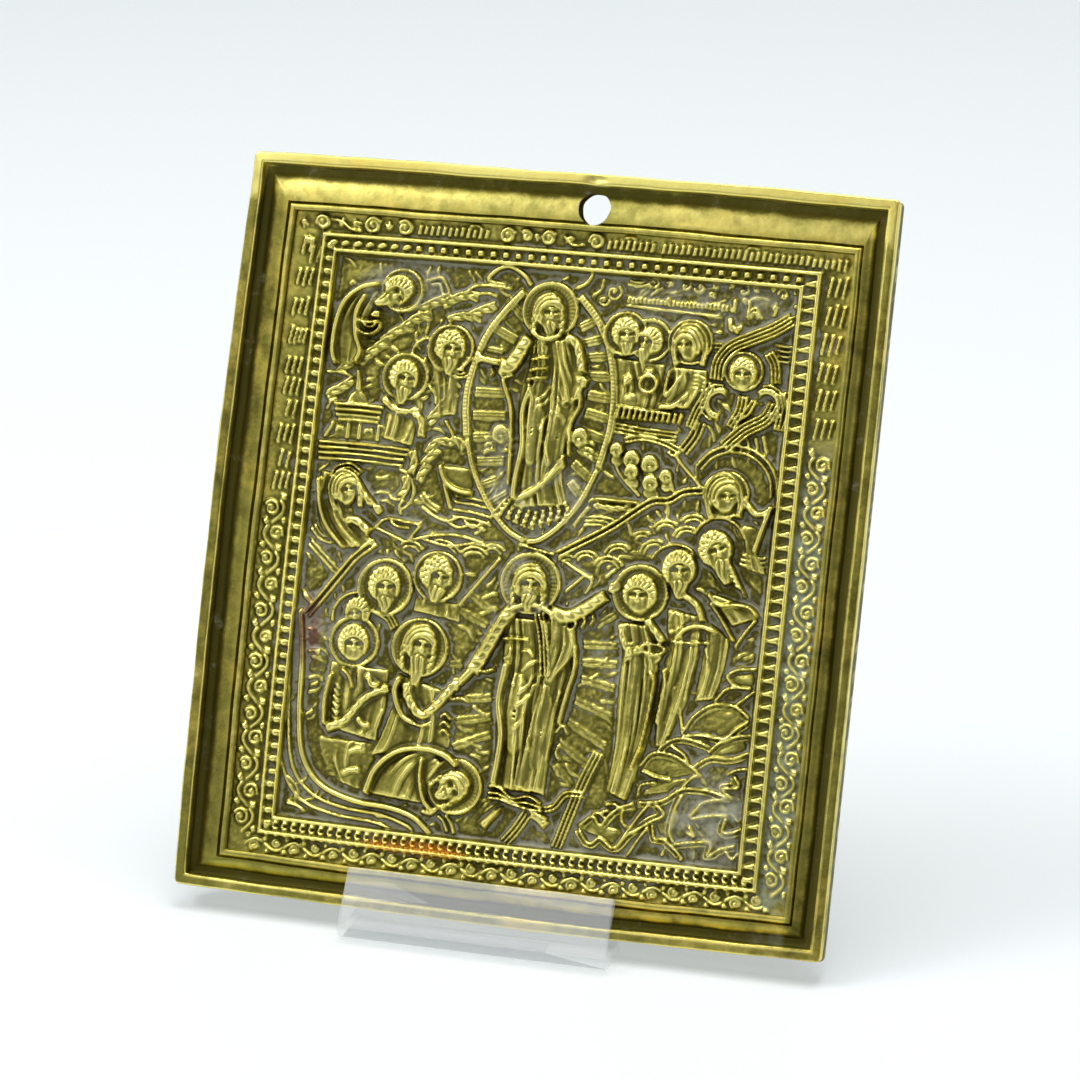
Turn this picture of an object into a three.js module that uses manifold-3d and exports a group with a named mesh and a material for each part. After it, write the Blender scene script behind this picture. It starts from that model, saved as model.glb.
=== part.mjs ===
// Cast brass icon with many small relief figures, leaning in a clear acrylic easel.
// Millimetres, +Z up. The face looks towards -Y, the origin is on the table under the middle.

import * as THREE from 'three';
import { mergeVertices } from 'three/addons/utils/BufferGeometryUtils.js';
import Module from 'manifold-3d';

const wasm = await Module();
wasm.setup();

// Driving dimensions

const plaque = { width: 100, height: 112, thickness: 4.2, cornerRadius: 0.8, edgeBreak: 0.3 };
const leanDegrees = 23.2;
const castingBulge = { left: 0.84, right: 0, top: 0.38, bottom: 0.61 };

const margin = { left: 7.5, right: 6.2, top: 8.5, bottom: 6.2 };
const scrollBand = { left: 4.4, right: 4.3, top: 2.8, bottom: 2.7 };
const edging = { left: 2.8, right: 3.5, top: 3.2, bottom: 3.2 };

const moulding = { rim: 1.75, groove: 1.3, quirk: 0.4, fillet: 1.0 };
const depth = { groove: 2.0, ovolo: 1.1, quirk: 1.6, fillet: 1.0, band: 1.9, panel: 2.3 };
const edgingDepth = { ridge: 1.2, bed: 1.8, roll: 1.2 };
const reliefRise = 1.9;
const scrollRise = 0.7;

const hangHole = { x: 3.9, fromTop: 5.0, radius: 2.35 };
const scrollPitch = { left: 6.4, right: 4.9, bottom: 4.9, top: 5.0 };
const strokePitch = { across: 2.3, stacked: 4.6 };

const sheet = { thickness: 1.6, frontBend: 0.6, backBend: 1.5 };
const lip = { width: 41, centreX: -1.7, leanDegrees: 39.5, reach: 5.2 };
const backRest = { width: 20, height: 60 };
const rearLeg = { spread: 24, foot: 5 };
const clearance = 0.2;

// Worked out from the driving dimensions

const lean = THREE.MathUtils.degToRad(leanDegrees);
const plate = {
  left: -plaque.width / 2,
  right: plaque.width / 2,
  bottom: -plaque.height / 2,
  top: plaque.height / 2,
};
const border = {
  left: margin.left + scrollBand.left + edging.left,
  right: margin.right + scrollBand.right + edging.right,
  top: margin.top + scrollBand.top + edging.top,
  bottom: margin.bottom + scrollBand.bottom + edging.bottom,
};
const panel = {
  left: plate.left + border.left,
  right: plate.right - border.right,
  bottom: plate.bottom + border.bottom,
  top: plate.top - border.top,
};
const panelGround = plaque.thickness - depth.panel;
const bandGround = plaque.thickness - depth.band;
const sunk = 0.5;
const shortestEdge = 0.004;

// The relief is drawn on a grid of these limits, which is spread over the panel
const drawing = { left: -34.8, right: 36.5, bottom: -43.9, top: 41.5 };

function onPanel([x, y]) {
  const across = (x - drawing.left) / (drawing.right - drawing.left);
  const up = (y - drawing.bottom) / (drawing.top - drawing.bottom);
  return [
    THREE.MathUtils.lerp(panel.left, panel.right, across),
    THREE.MathUtils.lerp(panel.bottom, panel.top, up),
  ];
}

const panelScale = (panel.right - panel.left) / (drawing.right - drawing.left);

// Mesh helpers

// Joins rings of equal length into a closed skin, each end ring closed by a fan to its middle
function skin(rings) {
  const count = rings[0].length;
  const middle = (ring) => ring.reduce((sum, p) => sum.add(p), new THREE.Vector3()).divideScalar(count);
  const points = [...rings.flat(), middle(rings[0]), middle(rings[rings.length - 1])];
  const firstMiddle = points.length - 2;
  const lastMiddle = points.length - 1;
  const lastRing = (rings.length - 1) * count;
  const index = [];
  for (let i = 0; i < count; i++) {
    const next = (i + 1) % count;
    index.push(firstMiddle, next, i);
    index.push(lastMiddle, lastRing + i, lastRing + next);
    for (let r = 0; r < lastRing; r += count) {
      index.push(r + i, r + next, r + count + next);
      index.push(r + i, r + count + next, r + count + i);
    }
  }
  const geometry = new THREE.BufferGeometry();
  const coordinates = points.flatMap((p) => [p.x, p.y, p.z]);
  geometry.setAttribute('position', new THREE.Float32BufferAttribute(coordinates, 3));
  geometry.setIndex(index);
  return geometry;
}

// The outline bows outwards a little, most at the middle of each side and not at the corners
function bowed(geometry) {
  const position = geometry.attributes.position;
  for (let i = 0; i < position.count; i++) {
    const across = position.getX(i) / plate.right;
    const up = position.getY(i) / plate.top;
    const sideways = castingBulge.right * (1 + across) - castingBulge.left * (1 - across);
    const upwards = castingBulge.top * (1 + up) - castingBulge.bottom * (1 - up);
    position.setX(i, position.getX(i) + (1 - up * up) * sideways / 2);
    position.setY(i, position.getY(i) + (1 - across * across) * upwards / 2);
  }
  return geometry;
}

// Signed volume of a triangle mesh, negative where the faces point inwards
function volume(positions, triangles) {
  const corner = (i) => new THREE.Vector3().fromArray(positions, 3 * triangles[i]);
  let sum = 0;
  for (let i = 0; i < triangles.length; i += 3) {
    sum += corner(i).dot(corner(i + 1).cross(corner(i + 2))) / 6;
  }
  return sum;
}

function toSolid(geometry) {
  const bare = geometry.clone();
  bare.deleteAttribute('normal');
  bare.deleteAttribute('uv');
  const merged = mergeVertices(bare, 1e-5);
  const vertProperties = new Float32Array(merged.attributes.position.array);
  const triVerts = new Uint32Array(merged.index.array);
  if (volume(vertProperties, triVerts) < 0) {
    for (let i = 0; i < triVerts.length; i += 3) {
      [triVerts[i], triVerts[i + 1]] = [triVerts[i + 1], triVerts[i]];
    }
  }
  return new wasm.Manifold(new wasm.Mesh({ numProp: 3, vertProperties, triVerts }));
}

function toGeometry(solid) {
  const { vertProperties, triVerts } = solid.getMesh();
  const geometry = new THREE.BufferGeometry();
  geometry.setAttribute('position', new THREE.Float32BufferAttribute(vertProperties, 3));
  geometry.setIndex(new THREE.Uint32BufferAttribute(triVerts, 1));
  geometry.computeVertexNormals();
  return geometry;
}

const joined = (geometries) => geometries.map(toSolid).reduce((whole, next) => whole.add(next));

// Relief forms, in the plaque's own frame: x across, y up the plaque, z out of its face

// Reads a list of numbers at share t of its length, in straight steps from one number to the next
function along(values, t) {
  const place = t * (values.length - 1);
  const i = Math.max(0, Math.min(Math.floor(place), values.length - 2));
  return THREE.MathUtils.lerp(values[i], values[i + 1] ?? values[i], place - i);
}

// A ridge along a path: widths and heights run from its start to its end
function swell(path, { widths, heights = [1], ground = panelGround, rise = reliefRise, facets = 2 }) {
  const knots = path.map(([x, y]) => new THREE.Vector3(x, y, 0));
  const bent = knots.length > 2;
  const curve = bent ? new THREE.CatmullRomCurve3(knots) : new THREE.LineCurve3(...knots);
  const stations = knots.length - 1;
  const rings = Array.from({ length: stations + 1 }, (_, i) => {
    const t = i / stations;
    const centre = curve.getPoint(t);
    const ahead = curve.getTangent(t);
    const half = along(widths, t) / 2;
    const height = rise * along(heights, t);
    const across = (share, z) => new THREE.Vector3(
      centre.x - ahead.y * half * share,
      centre.y + ahead.x * half * share,
      z,
    );
    const crown = Array.from({ length: facets - 1 }, (_, k) => {
      const turn = Math.PI * (k + 1) / facets;
      return across(Math.cos(turn), ground + height * Math.sin(turn));
    });
    return [across(-1, ground - sunk), across(1, ground - sunk), ...crown];
  });
  return bowed(skin(rings));
}

// The same ridge, drawn on the panel's grid
function panelSwell(path, settings) {
  return swell(path.map(onPanel), { ...settings, widths: settings.widths.map((w) => w * panelScale) });
}

// A form turned from a profile of radius and height, then stretched across and up the plaque
function turned([x, y], profile, [radiusX, radiusY], sides) {
  const [cx, cy] = onPanel([x, y]);
  const form = new THREE.LatheGeometry(profile.map(([r, z]) => new THREE.Vector2(r, z)), sides);
  form.rotateX(Math.PI / 2);
  form.scale(radiusX * panelScale, radiusY * panelScale, 1);
  form.translate(cx, cy, panelGround);
  return bowed(form);
}

function dome(place, radii, height) {
  const top = reliefRise * height;
  return turned(place, [[0, -sunk], [1, -sunk], [0.76, top * 0.64], [0, top]], radii, 6);
}

// A flat form with sloping sides, such as a wall, a slab or a book
function block(outline, height, slope = 0.5) {
  const shape = new THREE.Shape(outline.map(onPanel).map(([x, y]) => new THREE.Vector2(x, y)));
  const form = new THREE.ExtrudeGeometry(shape, {
    depth: reliefRise * height,
    bevelThickness: 0.3,
    bevelSize: slope,
    bevelOffset: -slope,
    bevelSegments: 1,
  });
  form.translate(0, 0, panelGround - 0.3);
  return bowed(form);
}

// Copies of a path beside it, a spacing apart, as the sculptor's parallel lines
function hatched(path, count, [stepX, stepY], settings) {
  return Array.from({ length: count }, (_, i) => panelSwell(
    path.map(([x, y]) => [x + i * stepX, y + i * stepY]),
    settings,
  ));
}

// Haloed head: a disc with a raised round in it, turned as one form
function head(place, radius) {
  const rim = reliefRise * 0.42;
  const crown = [[0.42, reliefRise * 0.85], [0, reliefRise]];
  const profile = [[0, -sunk], [1, -sunk], [0.9, rim], [0.56, rim], ...crown];
  return turned(place, profile, [radius, radius], 7);
}

// A robed body with folds that run from its shoulders to its hem
function robe(path, widths, folds = 3, height = 0.8) {
  const forms = [panelSwell(path, { widths, heights: [height, height, height * 0.8], facets: 3 })];
  for (let i = 0; i < folds; i++) {
    const share = folds > 1 ? (i / (folds - 1) - 0.5) * 0.62 : 0;
    const shifted = path.map(([x, y], k) => [x + share * along(widths, k / (path.length - 1)), y - 0.4]);
    const fold = folds > 2 ? shifted : shifted.slice(1);
    forms.push(panelSwell(fold, { widths: [0.7, 1.3], heights: [height, height * 1.2, height * 0.9] }));
  }
  return forms;
}

const limb = (path, width = 2.4, height = 1) =>
  panelSwell(path, { widths: [width, width, width * 0.6], heights: [height, height, height * 0.8] });

const line = (path, width = 0.9, height = 0.5) => panelSwell(path, { widths: [width], heights: [height] });

// Almond outline about a centre, one side of it
function almond([x, y], halfWidth, halfHeight, side) {
  return Array.from({ length: 6 }, (_, i) => {
    const turn = Math.PI * i / 5;
    return [x + side * halfWidth * Math.sin(turn), y - halfHeight * Math.cos(turn)];
  });
}

function glory(centre, halfWidth, halfHeight, rays) {
  const forms = [];
  for (const side of [-1, 1]) {
    forms.push(line(almond(centre, halfWidth, halfHeight, side), 1.6, 0.5));
    for (let i = 0; i < rays; i++) {
      const up = (i + 0.5) / rays * 1.5 - 0.75;
      const reach = halfWidth * Math.sqrt(1 - up * up);
      const y = centre[1] + up * halfHeight;
      forms.push(line([[centre[0] + side * reach * 0.45, y], [centre[0] + side * reach * 0.86, y]], 1, 0.4));
    }
  }
  return forms;
}

const arcPath = ([x, y], radius, from, to, count = 5) => Array.from({ length: count }, (_, i) => {
  const turn = THREE.MathUtils.degToRad(THREE.MathUtils.lerp(from, to, i / (count - 1)));
  return [x + radius * Math.cos(turn), y + radius * Math.sin(turn)];
});

// Upper half of the panel: the risen figure in its almond glory, with watchers on both sides
function upperScene() {
  return [
    ...glory([-0.7, 21], 11, 20, 4),
    head([-0.5, 34.5], 4.2),
    ...robe([[-0.5, 30.5], [0, 18], [0.6, 5]], [6, 8.5, 8], 3),
    limb([[-3, 29.5], [-6.4, 26.6], [-9, 28]]),
    limb([[2.4, 29.5], [4.8, 27], [5.6, 24.6]]),
    ...[-3.5, 0.8, 5].map((x) => dome([x, 3.6], [1.9, 2.2], 0.8)),
    line(arcPath([-7, 36.6], 4.8, 60, 130), 1, 0.5),
    line(arcPath([4.6, 36.6], 4.8, 50, 120), 1, 0.5),

    head([-24.5, 36.5], 3.3),
    ...robe([[-27.6, 36.4], [-31.4, 34], [-33, 26]], [3.4, 5, 4], 2),
    dome([-29, 31], [1.6, 1.6], 1),
    ...hatched([[-30, 24.6], [-19, 31.6], [-9.6, 38.4]], 2, [1.4, -2.2], { widths: [1.1], heights: [0.5] }),

    block([[-33.4, 12.6], [-24, 12.6], [-24, 17], [-33.4, 17]], 0.5),
    block([[-34, 17], [-23.6, 17], [-26, 19.8], [-31.8, 19.8]], 0.7),
    dome([-29, 21], [2.1, 1.9], 0.8),
    line([[-29, 22.4], [-29, 25.2]], 0.8, 0.6),
    ...hatched([[-34.3, 10.6], [-20, 10.6]], 2, [0, 1.6], { widths: [0.9], heights: [0.5] }),

    head([-21.7, 24], 3.5),
    ...robe([[-21.7, 20.6], [-21, 16], [-20, 10.6]], [4.6, 6, 6.4], 2),
    head([-15.5, 28.7], 3.4),
    ...robe([[-15.5, 25.4], [-14.8, 20], [-13.4, 12.4]], [4.4, 5.4, 5.6], 2),

    ...[[11, 33], [15.7, 32], [20.5, 33]].flatMap(([x, y]) => [
      head([x, y], 2.9),
      ...robe([[x, y - 3], [x, y - 6], [x + 0.2, y - 9.5]], [3.6, 4.4, 4], 1),
    ]),
    line([[11.6, 21], [21.4, 21]], 1.2, 0.6),
    head([29.5, 29], 3.2),
    ...[100, 78, 56, 34].map((turn) => limb(arcPath([27, 24], 9, turn, turn + 1, 2).concat(
      arcPath([28.6, 28], 10.4, turn - 12, turn - 11, 2).slice(1),
    ), 1.8, 0.7)),
    ...robe([[29.6, 25.8], [28.8, 22], [27, 18.8]], [4.4, 5.2, 4], 1),

    ...Array.from({ length: 5 }, (_, i) => (
      dome([11.6 + i * 1.9, 11.4 + (i % 2) * 2 + i * 0.4], [1.3, 1.5], 0.7)
    )),
    ...[6.4, 4.6].map((radius) => line(arcPath([30, 11.2], radius, 20, 175), 0.9, 0.6)),
    head([28.5, 11], 3.1),
    limb([[28.6, 7], [31.6, 7.4], [35, 9]], 2, 0.8),
    line([[33.6, 1.6], [35.4, 9.4]], 0.9, 0.7),
    ...hatched([[4.8, -0.6], [18, 8], [25, 10.2]], 2, [-0.6, 1.5], { widths: [0.9], heights: [0.5] }),

    dome([-29, 6], [2.4, 2.2], 0.9),
    ...robe([[-31, 4.6], [-27, 2.6], [-20, 4]], [4.6, 5.6, 3.6], 2, 0.6),
    block([[-24, 0.2], [-17, 0.2], [-17, 2.6], [-24, 2.6]], 0.5),
    block([[-15, 5], [-11, 3.6], [-8.6, 10], [-12.4, 11.4]], 0.6),
  ];
}

// Lower half: the same figure raises an old man out of a cave, with a crowd on both sides
function lowerScene() {
  return [
    ...glory([1.8, -18], 13.5, 21, 4),
    head([1.3, -4.5], 4.5),
    ...robe([[1, -9], [2, -22], [4, -36.4]], [8, 11, 12.5], 4, 0.9),
    limb([[-2.6, -11], [-6.6, -15.6], [-9, -20.2]], 2.8),
    limb([[5, -10.4], [10, -8.6], [14, -4.2]], 2.8),
    dome([-2.5, -40.6], [2.4, 1.5], 0.7),
    dome([6, -39.4], [2.4, 1.5], 0.7),
    ...Array.from({ length: 8 }, (_, i) => (
      line(arcPath([-17.5 + i * 5.2, -1.6], 2.3, 20, 160, 3), 0.9, 0.45)
    )),

    head([-15, -16], 4.3),
    ...robe([[-16.6, -20], [-20, -26], [-15.4, -31]], [6, 7, 7], 2),
    limb([[-17.4, -21], [-14.6, -25.6], [-9.4, -20.6]]),
    head([-21.5, -7.5], 4.1),
    head([-13, -5], 3.7),
    head([-25.5, -16.5], 3.8),
    ...robe([[-25, -20], [-24, -25], [-24, -31]], [6, 8, 6], 2),
    dome([-25.6, -11.4], [2, 1.6], 0.7),
    ...robe([[-20.6, -38.4], [-14, -33], [-8.6, -33.4]], [6, 7, 4.6], 2),
    head([-7, -36], 3.9),
    ...hatched(
      [[-33, -9], [-31.6, -24], [-27.6, -37], [-13.6, -41.4]], 2, [-1.3, -1.4],
      { widths: [0.8], heights: [0.45] },
    ),
    ...hatched([[-24, -2], [-33.2, -13.6]], 2, [-1.4, 1], { widths: [0.9], heights: [0.5] }),

    head([17, -5], 4),
    ...robe([[17, -9], [18.4, -21], [16.8, -36]], [6, 9, 9.4], 3),
    dome([20.5, -13], [2.6, 1.7], 1.2),
    head([23.4, -0.6], 3.4),
    ...robe([[23.6, -4], [25, -12], [25.4, -20]], [5, 6.4, 6.4], 2, 0.6),
    head([28.8, 3], 3.3),
    ...robe([[30, -0.4], [31.4, -8], [31.6, -18]], [6, 7, 7], 3, 0.7),
    ...hatched([[25, -21.6], [30, -25.4], [35.4, -20.6]], 3, [-0.8, -3.2], { widths: [1.3], heights: [0.7] }),
    ...hatched([[21, -38], [27, -33.4], [35, -35.8]], 3, [0.6, -2.2], { widths: [1.3], heights: [0.6] }),
    ...hatched([[13.6, -29], [9.2, -42.8]], 2, [1.7, 0], { widths: [0.9], heights: [0.5] }),
    line([[11.6, -40.4], [14.4, -41.6], [18, -41.2]], 1.1, 0.5),
  ];
}

// Frame

// One loop of the frame: a rounded rectangle, inset from the outline by its own amount on each side
function frameRing(inset, depthBelowRim, radius) {
  const left = plate.left + inset.left + radius;
  const right = plate.right - inset.right - radius;
  const bottom = plate.bottom + inset.bottom + radius;
  const top = plate.top - inset.top - radius;
  const z = plaque.thickness - depthBelowRim;
  const corners = [[right, top], [left, top], [left, bottom], [right, bottom]].map(([x, y], quarter) =>
    [0, 0.5, 1].map((share) => {
      const turn = (quarter + share) * Math.PI / 2;
      return new THREE.Vector3(x + radius * Math.cos(turn), y + radius * Math.sin(turn), z);
    }));
  return corners.flatMap((corner, i) => [
    ...corner,
    ...[1 / 3, 2 / 3].map((share) => corner[2].clone().lerp(corners[(i + 1) % 4][0], share)),
  ]);
}

// The cross-section from the back's edge round the rim and down to the panel, as insets and depths
function frameSection() {
  const { rim, groove, quirk, fillet } = moulding;
  const toOvolo = rim + groove;
  const ovolo = (side) => margin[side] - toOvolo - quirk - fillet;
  const inEdging = (share) => (side) => margin[side] + scrollBand[side] + edging[side] * share;
  const draft = 0.2;
  return [
    [() => 0, plaque.thickness],
    [() => 0, plaque.edgeBreak],
    [() => plaque.edgeBreak, 0],
    [() => rim - draft, 0],
    [() => rim, depth.groove],
    [() => toOvolo, depth.groove],
    [(side) => toOvolo + ovolo(side) * 0.4, (depth.groove + 2 * depth.ovolo) / 3],
    [(side) => toOvolo + ovolo(side), depth.ovolo],
    [(side) => toOvolo + ovolo(side) + quirk / 2, depth.quirk],
    [(side) => toOvolo + ovolo(side) + quirk, depth.fillet],
    [(side) => margin[side] - draft, depth.fillet],
    [(side) => margin[side], depth.band],
    [inEdging(0), depth.band],
    [inEdging(0.1), edgingDepth.ridge],
    [inEdging(0.25), edgingDepth.ridge],
    [inEdging(0.35), edgingDepth.bed],
    [inEdging(0.56), edgingDepth.roll],
    [inEdging(0.78), edgingDepth.bed],
    [inEdging(0.9), edgingDepth.ridge],
    [inEdging(1), depth.panel],
  ];
}

function framedPlate() {
  const sides = ['left', 'right', 'top', 'bottom'];
  const rings = frameSection().map(([insetOn, depthBelowRim]) => {
    const inset = Object.fromEntries(sides.map((side) => [side, insetOn(side)]));
    const radius = Math.max(plaque.cornerRadius - inset.left, plaque.cornerRadius / 3);
    return frameRing(inset, depthBelowRim, radius);
  });
  return bowed(skin(rings));
}

const isUpright = (side) => side === 'left' || side === 'right';

// The middle line of the border band along one side
function bandLine(side) {
  const inset = (s) => margin[s] + scrollBand[s] / 2;
  const x = { left: plate.left + inset('left'), right: plate.right - inset('right') };
  const y = { bottom: plate.bottom + inset('bottom'), top: plate.top - inset('top') };
  const upright = isUpright(side);
  const from = upright ? [x[side], y.bottom] : [x.left, y[side]];
  const to = upright ? [x[side], y.top] : [x.right, y[side]];
  return { from, to, length: Math.hypot(to[0] - from[0], to[1] - from[1]) };
}

const pointOn = ({ from, to }, share) => [
  THREE.MathUtils.lerp(from[0], to[0], share),
  THREE.MathUtils.lerp(from[1], to[1], share),
];

// Curled leaves of the border, one to each pitch, from one share of a side to another
function scrollRun(side, fromShare, toShare) {
  const row = bandLine(side);
  const count = Math.round(row.length * (toShare - fromShare) / scrollPitch[side]);
  const curlWidth = 0.8;
  const size = (scrollBand[side] - curlWidth) * 0.48;
  return Array.from({ length: count }, (_, i) => {
    const [x, y] = pointOn(row, fromShare + (toShare - fromShare) * (i + 0.5) / count);
    const flip = i % 2 ? -1 : 1;
    const curl = Array.from({ length: 4 }, (_, k) => {
      const turn = flip * (k * 1.15 - 1);
      const reach = size * (1 - 0.12 * k);
      return [x + reach * Math.cos(turn), y + reach * Math.sin(turn)];
    });
    return swell(curl, { widths: [curlWidth], ground: bandGround, rise: scrollRise });
  });
}

// Short slanted strokes in a row, which spell nothing
function strokeRun(side, fromShare, toShare) {
  const row = bandLine(side);
  const pitch = isUpright(side) ? strokePitch.stacked : strokePitch.across;
  const count = Math.round(row.length * (toShare - fromShare) / pitch);
  const half = scrollBand[side] * 0.34;
  return Array.from({ length: count }, (_, i) => {
    const [x, y] = pointOn(row, fromShare + (toShare - fromShare) * (i + 0.5) / count);
    const slant = ((i * 5) % 3 - 1) * 0.4;
    const stroke = [[x - slant, y - half], [x + slant, y + half]];
    return swell(stroke, { widths: [0.8], ground: bandGround, rise: scrollRise });
  });
}

function borderOrnament() {
  return [
    ...scrollRun('left', 0.01, 0.52),
    ...strokeRun('left', 0.55, 0.97),
    ...scrollRun('right', 0.01, 0.68),
    ...strokeRun('right', 0.7, 0.97),
    ...scrollRun('bottom', 0.02, 0.98),
    ...scrollRun('top', 0.01, 0.22),
    ...strokeRun('top', 0.24, 0.36),
    ...scrollRun('top', 0.38, 0.55),
    ...strokeRun('top', 0.57, 0.97),
  ];
}

function iconSolid() {
  const hole = new THREE.CylinderGeometry(hangHole.radius, hangHole.radius, 4 * plaque.thickness, 20);
  hole.rotateX(Math.PI / 2);
  hole.translate(hangHole.x, plate.top - hangHole.fromTop, 0);
  const cast = joined([framedPlate(), ...borderOrnament(), ...upperScene(), ...lowerScene()]);
  return cast.subtract(toSolid(hole)).simplify(shortestEdge);
}

// Stand: one clear strip, bent in the YZ plane, with y counted from the plaque's lower back edge

// Outline of a strip of the sheet's thickness along a path, each corner bent to its inner radius
function bentOutline(path, innerRadii) {
  const half = sheet.thickness / 2;
  const nearSide = [];
  const farSide = [];
  const put = (point, heading) => {
    const normal = new THREE.Vector2(-heading.y, heading.x).multiplyScalar(half);
    nearSide.push(point.clone().add(normal));
    farSide.unshift(point.clone().sub(normal));
  };
  const headings = path.slice(1).map((point, i) => point.clone().sub(path[i]).normalize());
  put(path[0], headings[0]);
  for (let i = 1; i < path.length - 1; i++) {
    const turn = Math.atan2(headings[i - 1].cross(headings[i]), headings[i - 1].dot(headings[i]));
    const radius = innerRadii[i - 1] + half;
    const start = path[i].clone().addScaledVector(headings[i - 1], -radius * Math.tan(Math.abs(turn) / 2));
    const inward = new THREE.Vector2(-headings[i - 1].y, headings[i - 1].x).multiplyScalar(Math.sign(turn));
    const centre = start.clone().addScaledVector(inward, radius);
    const bends = Math.ceil(Math.abs(turn) / THREE.MathUtils.degToRad(25));
    for (let k = 0; k <= bends; k++) {
      const swung = turn * k / bends;
      const point = start.clone().rotateAround(centre, swung);
      put(point, headings[i - 1].clone().rotateAround(new THREE.Vector2(), swung));
    }
  }
  put(path.at(-1), headings.at(-1));
  return new THREE.Shape([...nearSide, ...farSide]);
}

function bentStrip(path, innerRadii, width) {
  const outline = bentOutline(path, innerRadii);
  const strip = new THREE.ExtrudeGeometry(outline, { depth: width, bevelEnabled: false });
  const leftSide = lip.centreX - width / 2;
  strip.applyMatrix4(new THREE.Matrix4().set(0, 0, 1, leftSide, 1, 0, 0, 0, 0, 1, 0, 0, 0, 0, 0, 1));
  return strip;
}

const upPlaque = new THREE.Vector2(Math.sin(lean), Math.cos(lean));
const outOfFace = new THREE.Vector2(-Math.cos(lean), Math.sin(lean));
const lowerBackEdge = new THREE.Vector2(0, sheet.thickness + clearance + castingBulge.bottom * upPlaque.y);

// Where a line along a direction from a point crosses the height of the floor strip's middle
function onFloor(point, direction) {
  return point.clone().addScaledVector(direction, (sheet.thickness / 2 - point.y) / direction.y);
}

function standSolid() {
  const half = sheet.thickness / 2;
  const lipLean = THREE.MathUtils.degToRad(lip.leanDegrees);
  const upLip = new THREE.Vector2(Math.sin(lipLean), Math.cos(lipLean));
  const lipTop = lowerBackEdge.clone()
    .addScaledVector(outOfFace, plaque.thickness + clearance)
    .addScaledVector(upPlaque, lip.reach)
    .addScaledVector(new THREE.Vector2(-upLip.y, upLip.x), half);
  const restLine = lowerBackEdge.clone().addScaledVector(outOfFace, -clearance - half);
  const restFoot = onFloor(restLine, upPlaque);
  const restTop = restLine.clone().addScaledVector(upPlaque, backRest.height);
  const legFoot = new THREE.Vector2(restTop.x + rearLeg.spread, half);
  const tray = bentStrip([lipTop, onFloor(lipTop, upLip), restFoot], [sheet.frontBend], lip.width);
  const easel = bentStrip([
    new THREE.Vector2(restFoot.x - plaque.thickness, half),
    restFoot,
    restTop,
    legFoot,
    new THREE.Vector2(legFoot.x + rearLeg.foot, half),
  ], [sheet.frontBend, sheet.backBend, sheet.backBend], backRest.width);
  return joined([tray, easel]);
}

// Materials

const brass = new THREE.MeshStandardMaterial({
  name: 'brass', color: 0x9a7a32, roughness: 0.38, metalness: 0.9,
});
const clearAcrylic = new THREE.MeshStandardMaterial({
  name: 'clear_acrylic',
  color: 0xdfeaf0,
  roughness: 0.06,
  metalness: 0,
  transparent: true,
  opacity: 0.3,
});

// Assembly

const icon = new THREE.Mesh(toGeometry(iconSolid()), brass);
icon.name = 'icon';
const leaning = new THREE.Group();
leaning.rotation.x = Math.PI / 2 - lean;
leaning.position.set(0, lowerBackEdge.x, lowerBackEdge.y);
icon.position.y = plaque.height / 2;
leaning.add(icon);

const stand = new THREE.Mesh(toGeometry(standSolid()), clearAcrylic);
stand.name = 'stand';

const together = new THREE.Group();
together.add(leaning, stand);
const middle = new THREE.Box3().setFromObject(together, true).getCenter(new THREE.Vector3());
together.position.set(-middle.x, -middle.y, 0);

const brassIcon = new THREE.Group();
brassIcon.add(together);

export default brassIcon;
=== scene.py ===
import math

import bpy
import numpy as np
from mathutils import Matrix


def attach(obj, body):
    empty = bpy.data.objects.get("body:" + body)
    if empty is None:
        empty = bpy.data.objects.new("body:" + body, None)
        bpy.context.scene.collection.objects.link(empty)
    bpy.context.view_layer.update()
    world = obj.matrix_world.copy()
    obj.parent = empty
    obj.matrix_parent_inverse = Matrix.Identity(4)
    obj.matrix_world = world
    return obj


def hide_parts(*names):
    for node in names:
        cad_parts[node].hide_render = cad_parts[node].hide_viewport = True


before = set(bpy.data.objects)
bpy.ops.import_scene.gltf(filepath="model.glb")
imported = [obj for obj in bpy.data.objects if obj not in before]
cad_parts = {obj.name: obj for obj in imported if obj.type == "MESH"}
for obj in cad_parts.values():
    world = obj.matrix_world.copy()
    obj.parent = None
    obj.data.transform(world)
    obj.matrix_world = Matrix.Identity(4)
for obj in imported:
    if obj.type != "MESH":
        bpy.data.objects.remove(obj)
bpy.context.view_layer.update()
print("stage: frame loaded", sorted(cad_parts))

mm = 0.001

# The plaque lies in its own flat frame while it is drawn: millimetres, x to the right, y up its
# face, z out of its back. rowPlace then leans it on its stand, as the solids do.
plaque = {
    "width": 100.0, "height": 112.0, "thickness": 4.2,
    "lean": math.radians(23.2), "backFoot": (0.375, -22.32, 2.361),
    "bellyLeft": 0.84, "bellyRight": 0.0, "bellyTop": 0.38, "bellyBottom": 0.61,
}
sides = ("bottom", "right", "top", "left")
margin = {"left": 7.5, "right": 6.2, "top": 8.5, "bottom": 6.2}      # width of the moulding
scrollBand = {"left": 4.4, "right": 4.3, "top": 2.8, "bottom": 2.7}
edging = {"left": 2.8, "right": 3.5, "top": 3.2, "bottom": 3.2}      # ridge, bead bed, ridge
rimTop = plaque["thickness"]
halfWide, halfHigh = plaque["width"] / 2, plaque["height"] / 2
groundDepth = 2.3                                                   # panel ground below the rim


def bowed(x, y):
    # the cast plate bellies out: each side follows a parabola, furthest out at its middle
    across, up = x / halfWide, y / halfHigh
    outX = (1 - up**2) * (plaque["bellyRight"] * (1 + across) - plaque["bellyLeft"] * (1 - across)) / 2
    outY = (1 - across**2) * (plaque["bellyTop"] * (1 + up) - plaque["bellyBottom"] * (1 - up)) / 2
    return x + outX, y + outY


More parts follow.
